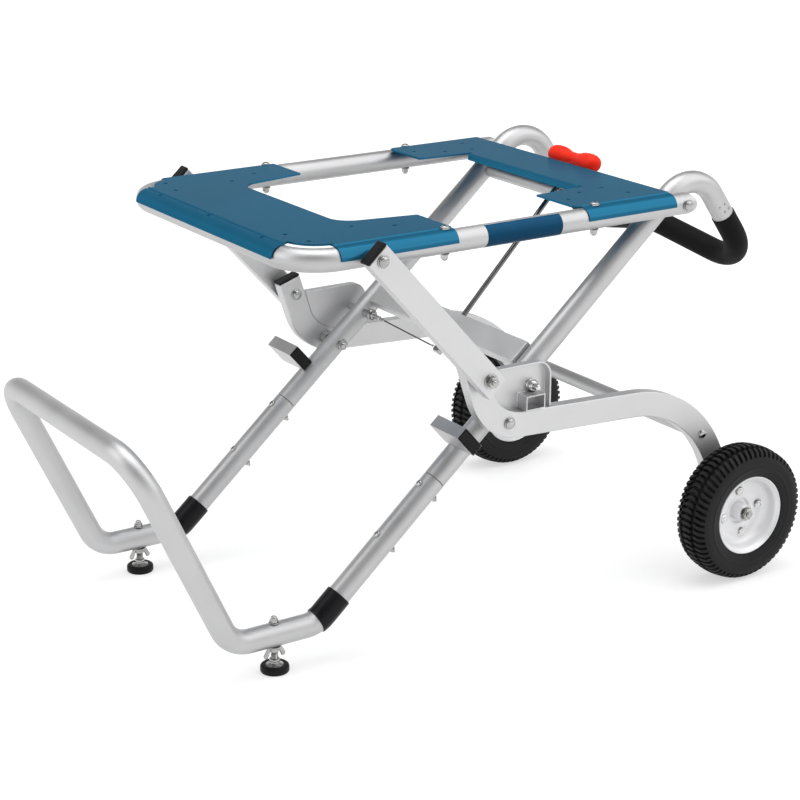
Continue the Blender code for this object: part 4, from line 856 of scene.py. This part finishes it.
LOCK_PIN = [(0, PIN_IN_Y - 0.0002), (PIN_NECK_R - 0.0012, PIN_IN_Y), (PIN_NECK_R, PIN_IN_Y + 0.0012),
            (PIN_NECK_R, PIN_IN_Y + 0.0060), (PIN_NECK_R - 0.0008, PIN_IN_Y + 0.0066),
            (PIN_NECK_R - 0.0008, neck_end), (PIN_R - 0.0005, neck_end), (PIN_R, neck_end + 0.0005),
            (PIN_R, ARM_IN_Y - 0.0019), (PIN_R - 0.0015, ARM_IN_Y - 0.0004), (0, ARM_IN_Y - 0.0004)]

for tag, side, hand in BOTH:
    out, link_body = (0, side, 0), "link_" + hand
    arm = mirrored(prism(arm_left + list(reversed(arm_right)), *ARM_SPAN), side)
    box_tube("arm_tube" + tag, arm, [arm_tail], ARM_BORE, "box", "wheel_frame", "wheel_arm" + tag)
    cap = mirrored(beam(*arm_cap_ends, BOX_W, *ARM_SPAN), side)
    piece("arm_end_cap" + tag, cap, "plastic", "wheel_frame", "arm_cap" + tag, CAP_EDGE)
    dress(web_panel("knee_web" + tag, side), "web", "wheel_frame", "web_plate" + tag, 30.0, True)
    box = stub_outline(0.0)
    stub = solid("stop_socket" + tag, mirrored(prism(box, stub_y - WEB_T / 2, stub_y + STUB_L), side))
    cut(stub, mirrored(prism(stub_outline(STUB_WALL), stub_y, stub_y + 2 * STUB_L), side))
    rounded(stub, STUB_EDGE, 2, 50.0)
    dress(stub, "web", "wheel_frame", flat=True)
    beads = [weld(path, stub_y * side) for path in ([web_start] + web_foot + [web_stop], box + box[:1])]
    piece("weld_beads" + tag, joined(*beads), "web", "wheel_frame", angle=80.0)
    pin_tip = joined(lathe(PIN_TIP, at(PIN, 0.0), out), lathe(TIP_COLLAR, at(PIN, 0.0), out, loop=True))
    piece("lock_pin_tip" + tag, pin_tip, "chrome", "wheel_frame", "lock_pin_end" + tag)
    # pivots
    bolt = pivot(P1, side, LEG_SPAN, RAIL_SPAN)
    piece("table_pivot_bolt" + tag, bolt, "steel", "leg_frame", "table_pivot" + tag)
    bolt = pivot(P2, side, LEG_SPAN, ARM_SPAN, ARM_PIVOT_R, ARM_SPACER_R, PIVOT_NUT)
    piece("arm_pivot_bolt" + tag, bolt, "steel", "leg_frame", "arm_pivot" + tag)
    bolt = pivot(P3, side, RAIL_SPAN, LINK_SPAN)
    piece("link_pivot_bolt" + tag, bolt, "steel", "table", "link_pivot" + tag)
    seat = pin(P4, side, [(PIVOT_R, ARM_IN_Y - GAP, ARM_OUT_Y + GAP),
                          (SPACER_R, ARM_OUT_Y + GAP, LINK_IN_Y - 2 * GAP)])
    seat = joined(seat, head(P4, ARM_IN_Y - GAP, side, -1))
    piece("link_seat_bolt" + tag, seat, "steel", "wheel_frame", "arm_link_seat" + tag)
    low_bolt = joined(pin(P4, side, [(PIVOT_R, LINK_IN_Y, LINK_OUT_Y + GAP)]),
                      nut(at(P4, (LINK_OUT_Y + GAP) * side), out, *LINK_NUT))
    piece("link_nut" + tag, low_bolt, "steel", link_body, "link_low_bolt" + tag)
    link = mirrored(beam(link_top, link_low, BOX_W, *LINK_SPAN), side)
    box_tube("link_tube" + tag, link, [link_run], LINK_BORE, "box", link_body, "link" + tag)
    cap = mirrored(beam(cap_top, cap_low, BOX_W, *LINK_SPAN), side)
    piece("link_end_cap" + tag, cap, "plastic", link_body, "link_cap" + tag, CAP_EDGE)
    tube_bolt = head(ARM_TUBE, ARM_OUT_Y, side, 1, *TUBE_HEAD)
    piece("cross_tube_bolt" + tag, tube_bolt, "steel", "wheel_frame")
    # lock
    ring = lathe(LOCK_RING, at(PIN, 0.0), out, loop=True)
    piece("lock_ring" + tag, ring, "steel", "leg_frame", "lock_housing" + tag)
    piece("lock_bolt" + tag, lathe(LOCK_PIN, at(PIN, 0.0), out), "chrome", "lock_" + hand, "lock_pin" + tag)

# wheels: half sections as (radius, y from the middle), with how far a lug stands there in the tread
LUGS, LUG_DEPTH, LUG_SLANT, LUG_FROM, LUG_FADE = 64, 0.0074, -1.0, 0.0925, 0.0028
TYRE_HALF, MIDDLE_ROW = 0.031, 0.0110
TREAD_TOP = ((0.0905, 0.0300, 0.0), (0.0925, 0.0293, 0.55), (0.0955, 0.0282, 1.0), (0.0988, 0.0259, 1.0),
             (0.1012, 0.0215, 1.0), (0.1027, 0.0142, 1.0), (0.1029, 0.0130, 0.0), (0.1035, 0.0092, 0.0),
             (0.1036, 0.0080, 1.0), (0.1040, 0.0030, 1.0))
SIDEWALL = ((0.0562, 0.0200), (0.0590, 0.0236), (0.0622, 0.0266), (0.0650, 0.0272), (0.0668, 0.0286),
            (0.0690, 0.0290), (0.0735, 0.0302), (0.0745, 0.0308), (0.0765, 0.0309), (0.0775, 0.0304),
            (0.0820, 0.0309), (0.0870, 0.0308))
BORE = ((0.0970, 0.010), (0.0820, 0.024), (0.0562, 0.0150))
# places along one pitch of the tread: (share of the pitch, 1 on the lug or 0 in the slot)
PITCH_PLACES = ((0.00, 0), (0.40, 0), (0.46, 1), (0.70, 1), (0.94, 1))


def lug_zone(r):
    """How deep the slots run: full on the crown, fading out down the shoulder."""
    return max(0.0, min(1.0, (r - LUG_FROM) / LUG_FADE))


def tyre(side):
    """A closed ring whose tread stands in lugs: two shoulder rows, and a middle row set half a pitch on."""
    rows = [(r, y, 0.0, 0.0, 0.0, 1.0) for r, y in SIDEWALL]
    rows += [(r, y, lug, 0.5 if y < MIDDLE_ROW else 0.0, lug_zone(r), y / TYRE_HALF)
             for r, y, lug in TREAD_TOP]
    section = rows + [(r, -y, *rest) for r, y, *rest in reversed(rows)]
    section += [(r, y, 0.0, 0.0, 0.0, 1.0) for r, y in [(r, -y) for r, y in reversed(BORE)] + list(BORE)]
    points = []
    columns = [(k + f, high) for k in range(LUGS) for f, high in PITCH_PLACES]
    for turn, high in columns:
        for r, y, lug, step, slot, lean in section:
            a = 2 * pi * (turn + step + LUG_SLANT * lean) / LUGS
            reach = r - LUG_DEPTH * (1 - high * lug) * slot
            x, z = WHEEL[0] + reach * sin(a), WHEEL[1] + reach * cos(a)
            points.append((x, (WHEEL_Y + y) * side, z))
    return points, rows_joined(len(columns), len(section), True)


# the rim is a half-open dish with a rolled lip, a drop to the disc and a hub boss
RIM_HALF, RIM_SIDES, LIP_AT, LIP_R, LIP_RISE = RIM_W / 2, 72, 0.0612, 0.0014, 0.0016
HUB_BORE, HUB_BACK = AXLE_R + 0.0004, -RIM_HALF - 0.003
RIM_LIP = [(LIP_AT + LIP_R * cos(t * DEG) - LIP_R, RIM_HALF - LIP_RISE + LIP_RISE * sin(t * DEG))
           for t in range(-60, 181, 30)]
RIM_OUTER = [(0.0555, 0.0205), (0.0585, 0.0232)] + RIM_LIP
RIM_DISH = [(0.0570, RIM_HALF - 0.0030), (0.0548, RIM_HALF - 0.0040), (0.0535, RIM_HALF - 0.0060),
            (0.0530, 0.0150), (0.0520, 0.0110), (0.0492, 0.0070), (0.0455, 0.0048), (0.0430, 0.0042),
            (0.0380, 0.0042), (0.0365, 0.0046), (0.0230, 0.0046), (0.0212, 0.0042), (0.0200, 0.0034),
            (0.0188, -0.0014), (0.0146, -0.0014), (0.0137, 0.0030), (0.0132, HUB_OUT - 0.0030),
            (0.0122, HUB_OUT - 0.0012), (0.0108, HUB_OUT), (HUB_BORE, HUB_OUT)]
RIM_BACK = [(HUB_BORE, HUB_BACK), (HUB_R, HUB_BACK), (HUB_R, -0.005), (0.0440, -0.003), (0.0522, -0.0135),
            (0.0522, -RIM_HALF + 0.0034)]
RIM = RIM_OUTER + RIM_DISH + RIM_BACK + [(r, -y) for r, y in reversed(RIM_OUTER)]
RIM_BOLTS, RIM_BOLT_AT, RIM_BOLT_Y, RIM_BOLT_FROM, RIM_BOLT_TURN = 4, 0.0342, 0.0042, 8, 15.0
RIM_CAP_Y, AXLE_SIDES, AXLE_SPACER_R = 0.0044, 36, HUB_R - 0.002
for tag, side, hand in BOTH:
    body, hub, out = "wheel_" + hand, at(WHEEL, 0.0), (0, side, 0)
    piece("treaded_tyre" + tag, tyre(side), "tyre", body, "tyre" + tag, angle=32.0)
    rim = lathe([(r, WHEEL_Y + y) for r, y in RIM], hub, out, RIM_SIDES, True)
    piece("dished_rim" + tag, rim, "rim", body, "rim" + tag, angle=38.0)
    bolts = []
    for k in range(RIM_BOLTS):
        a = (RIM_BOLT_FROM + 360 * k / RIM_BOLTS) * DEG
        place = (WHEEL[0] + RIM_BOLT_AT * cos(a), WHEEL[1] + RIM_BOLT_AT * sin(a))
        spot = Vector(at(place, (WHEEL_Y + RIM_BOLT_Y) * side))
        bolts += [nut(spot, out, *RIM_BOLT, turn=RIM_BOLT_TURN * k),
                  dome(spot + Vector(out) * RIM_CAP_Y, out, *RIM_CAP)]
    piece("rim_bolts" + tag, joined(*bolts), "chrome", body)
    hub_in, axle_end = WHEEL_Y + HUB_BACK, WHEEL_Y + HUB_OUT + GAP
    steps = [(AXLE_R, ARM_IN_Y - GAP, ARM_OUT_Y + GAP), (AXLE_SPACER_R, ARM_OUT_Y + GAP, hub_in - GAP),
             (AXLE_R, hub_in - GAP, axle_end)]
    axle = joined(pin(WHEEL, side, steps, AXLE_SIDES), nut(at(WHEEL, axle_end * side), out, *AXLE_NUT),
                  nut(at(WHEEL, (ARM_IN_Y - GAP) * side), (0, -side, 0), *AXLE_HEAD))
    piece("axle_bolt" + tag, axle, "steel", "wheel_frame", "axle" + tag)

# release: red grip, pull rod, cables
low_eye, pull = on_leg(*ROD_LOW), on_leg(*GRIP_AT)
rod_run = heading(low_eye, pull)
grip_mid = (pull[0] - rod_run.z * T_RISE, pull[1] + rod_run.x * T_RISE)
lobe = T_GRIP_L / 2
# half of the grip: (share of its radius, distance from its end), then shares of its half length to the waist
LOBE_END = ((0.36, 0.0006), (0.62, 0.0024), (0.82, 0.0056), (0.95, 0.0105), (1.0, 0.0160))
LOBE_IN = ((1.0, 0.56), (0.97, 0.46), (0.90, 0.37), (0.79, 0.28))
bone = [(0.0, -lobe)] + [(T_GRIP_R * r, -lobe + y) for r, y in LOBE_END]
bone += [(T_GRIP_R * r, -lobe * y) for r, y in LOBE_IN]
bone += [(T_WAIST_R * 1.05, -lobe * 0.19), (T_WAIST_R, -lobe * 0.10)]
GRIP_SIDES, ROD_SIDES, ROD_CHAMFER, WIRE_STEPS, WIRE_SIDES, CRIMP_SIDES = 48, 28, 0.0004, 24, 14, 20
CRIMP = [(CABLE_R + 0.0001, -0.012), (0.0021, -0.0112), (0.0021, -0.0010), (0.0015, 0.0)]
grip = lathe(bone + [(r, -y) for r, y in reversed(bone)], at(grip_mid, 0.0), (0, 1, 0), GRIP_SIDES)
piece("red_pull_grip", grip, "red", "release", "release_grip", angle=60.0)
eye_ends = [along(low_eye, rod_run, d) for d in (-EYE_L / 2, EYE_L / 2)]
rod = tube([at(eye_ends[1], 0.0), at(pull, 0.0)], ROD_R, ROD_SIDES, ROD_CHAMFER)
piece("pull_rod", rod, "rod", "release", "release_rod")
piece("cable_yoke", beam(*eye_ends, EYE_W, -EYE_W / 2, EYE_W / 2), "steel", "release", edge=YOKE_EDGE)
for tag, side, hand in BOTH:
    start, stop = Vector(at(PIN, (PIN_IN_Y - GAP) * side)), Vector(at(low_eye, (EYE_W / 2 + GAP) * side))
    run = [start + (stop - start) * k / WIRE_STEPS for k in range(WIRE_STEPS + 1)]
    wire = solid("pull_wire" + tag, ringed(run, [(i, CABLE_R) for i in range(len(run))], WIRE_SIDES))
    smooth(wire.data)
    coat(wire, "wire")
    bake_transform(wire)
    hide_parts("release_cable" + tag)
    outward = (start - stop).normalized()
    piece("wire_end" + tag, lathe(CRIMP, start, outward, CRIMP_SIDES), "chrome", "lock_" + hand)
    piece("wire_ferrule" + tag, lathe(CRIMP, stop, -outward, CRIMP_SIDES), "chrome", "release")

# the guide keeps its solid, with a finish
coat(frame["nodes"]["rod_guide"], "steel")

# small screws that hold the grip: (place down the handle, lean round the tube)
screws = []
for t, lean in HANDLE_SCREWS:
    for side in (-1, 1):
        face = Vector((0, side * cos(lean * DEG), 0)) + Vector((-drop[1], 0, drop[0])) * sin(lean * DEG)
        screws.append(dome(Vector(at(down(t), LEG_Y * side)) + face * LEG_R, face, *SCREW_HEAD))
piece("grip_screws", joined(*screws), "steel", "leg_frame")

# stage: floor, world, lamps and camera
CAMERA_AT = (SHIFT - 1.5996, -2.4453, 1.2545)
VIEW_AZIMUTH, VIEW_FALL, CLIP_END = 33.1, 18.6, 50.0
FOCAL_PIXELS, IMAGE_PIXELS, SENSOR = 2049.9, 800, 36.0
FLOOR_SIZE, FLOOR_GREY, FLOOR_ROUGH = 14.0, 0.50, 0.9
BACKDROP_TOP, CEILING, AMBIENT = (0.22, 0.46), 0.30, 0.55
FLOOR_REACH, FLOOR_GLOW = (0.6, 3.2), (0.56, 0.82)
# lamps: name, place, aim, size, watts
LAMPS = (("key", (1.7, -1.5, 2.4), (0.0, 0.0, 0.35), (3.4, 2.8), 46.0),
         ("left", (-2.4, 0.6, 2.0), (0.0, 0.0, 0.35), (1.8, 2.0), 20.0),
         ("top", (-0.1, 0.1, 2.9), (0.0, 0.0, 0.4), (2.2, 2.2), 42.0))


def camera_sees(tree):
    """1 for camera, glossy and transmission rays, which see the bare white background."""
    rays = node(tree, "ShaderNodeLightPath").outputs
    total = rays["Is Camera Ray"]
    for name in ("Is Glossy Ray", "Is Transmission Ray"):
        either = node(tree, "ShaderNodeMath", wires={0: total, 1: rays[name]}, operation="MAXIMUM")
        total = either.outputs["Value"]
    return total


def make_floor():
    """A pale floor that takes shadows, and turns white with distance for rays that see the background."""
    far = FLOOR_SIZE / 2
    mesh = bpy.data.meshes.new("floor")
    corners = [(-far, -far, 0.0), (far, -far, 0.0), (far, far, 0.0), (-far, far, 0.0)]
    mesh.from_pydata(corners, [], [(0, 1, 2, 3)])
    pale = bpy.data.materials.new("pale_floor")
    pale.use_nodes = True
    tree = pale.node_tree
    shader = tree.nodes["Principled BSDF"]
    fill(shader, {"Base Color": (*grey(FLOOR_GREY), 1.0), "Roughness": FLOOR_ROUGH, "Specular IOR Level": 0.0,
                  "Emission Color": (*WHITE, 1.0)})
    place = node(tree, "ShaderNodeTexCoord").outputs["Object"]
    distance = node(tree, "ShaderNodeVectorMath", wires={0: place}, operation="LENGTH").outputs["Value"]
    glow = remap(tree, distance, FLOOR_REACH, FLOOR_GLOW, interpolation_type="SMOOTHSTEP")
    tree.links.new(product(tree, camera_sees(tree), glow), shader.inputs["Emission Strength"])
    mesh.materials.append(pale)
    linked("floor", mesh)


def make_world():
    """A white backdrop up to a low height and a dim ceiling above, so that round metal shows soft streaks."""
    world = bpy.data.worlds.new("studio")
    world.use_nodes = True
    bpy.context.scene.world = world
    tree = world.node_tree
    place = node(tree, "ShaderNodeTexCoord").outputs["Generated"]
    height = node(tree, "ShaderNodeSeparateXYZ", wires={"Vector": place}).outputs["Z"]
    studio = ramp(tree, height, WHITE, grey(CEILING), BACKDROP_TOP)
    seen = node(tree, "ShaderNodeLightPath").outputs["Is Camera Ray"]
    shown = node(tree, "ShaderNodeMix", {"B": (*WHITE, 1.0)}, {"Factor": seen, "A": studio}, data_type="RGBA")
    mix = node(tree, "ShaderNodeMix", {"A": (*grey(AMBIENT), 1.0)},
               {"Factor": camera_sees(tree), "B": shown.outputs["Result"]}, data_type="RGBA")
    tree.links.new(mix.outputs["Result"], tree.nodes["Background"].inputs["Color"])


def softbox(name, spot, aim, size, power):
    lamp = bpy.data.lights.new(name, "AREA")
    lamp.shape, lamp.size, lamp.size_y, lamp.energy = "RECTANGLE", size[0], size[1], power
    obj = linked(name, lamp)
    obj.location = spot
    obj.rotation_euler = (Vector(aim) - Vector(spot)).to_track_quat("-Z", "Y").to_euler()


def make_camera():
    lens = bpy.data.cameras.new("camera")
    lens.sensor_width = SENSOR
    lens.lens = FOCAL_PIXELS / IMAGE_PIXELS * SENSOR
    lens.clip_end = CLIP_END
    obj = linked("camera", lens)
    a, e = VIEW_AZIMUTH * DEG, VIEW_FALL * DEG
    ahead = Vector((sin(a) * cos(e), cos(a) * cos(e), -sin(e)))
    obj.location = CAMERA_AT
    obj.rotation_euler = ahead.to_track_quat("-Z", "Y").to_euler()
    bpy.context.scene.camera = obj


make_floor()
make_world()
for lamp in LAMPS:
    softbox(*lamp)
make_camera()
bpy.context.scene.view_settings.view_transform = "Standard"
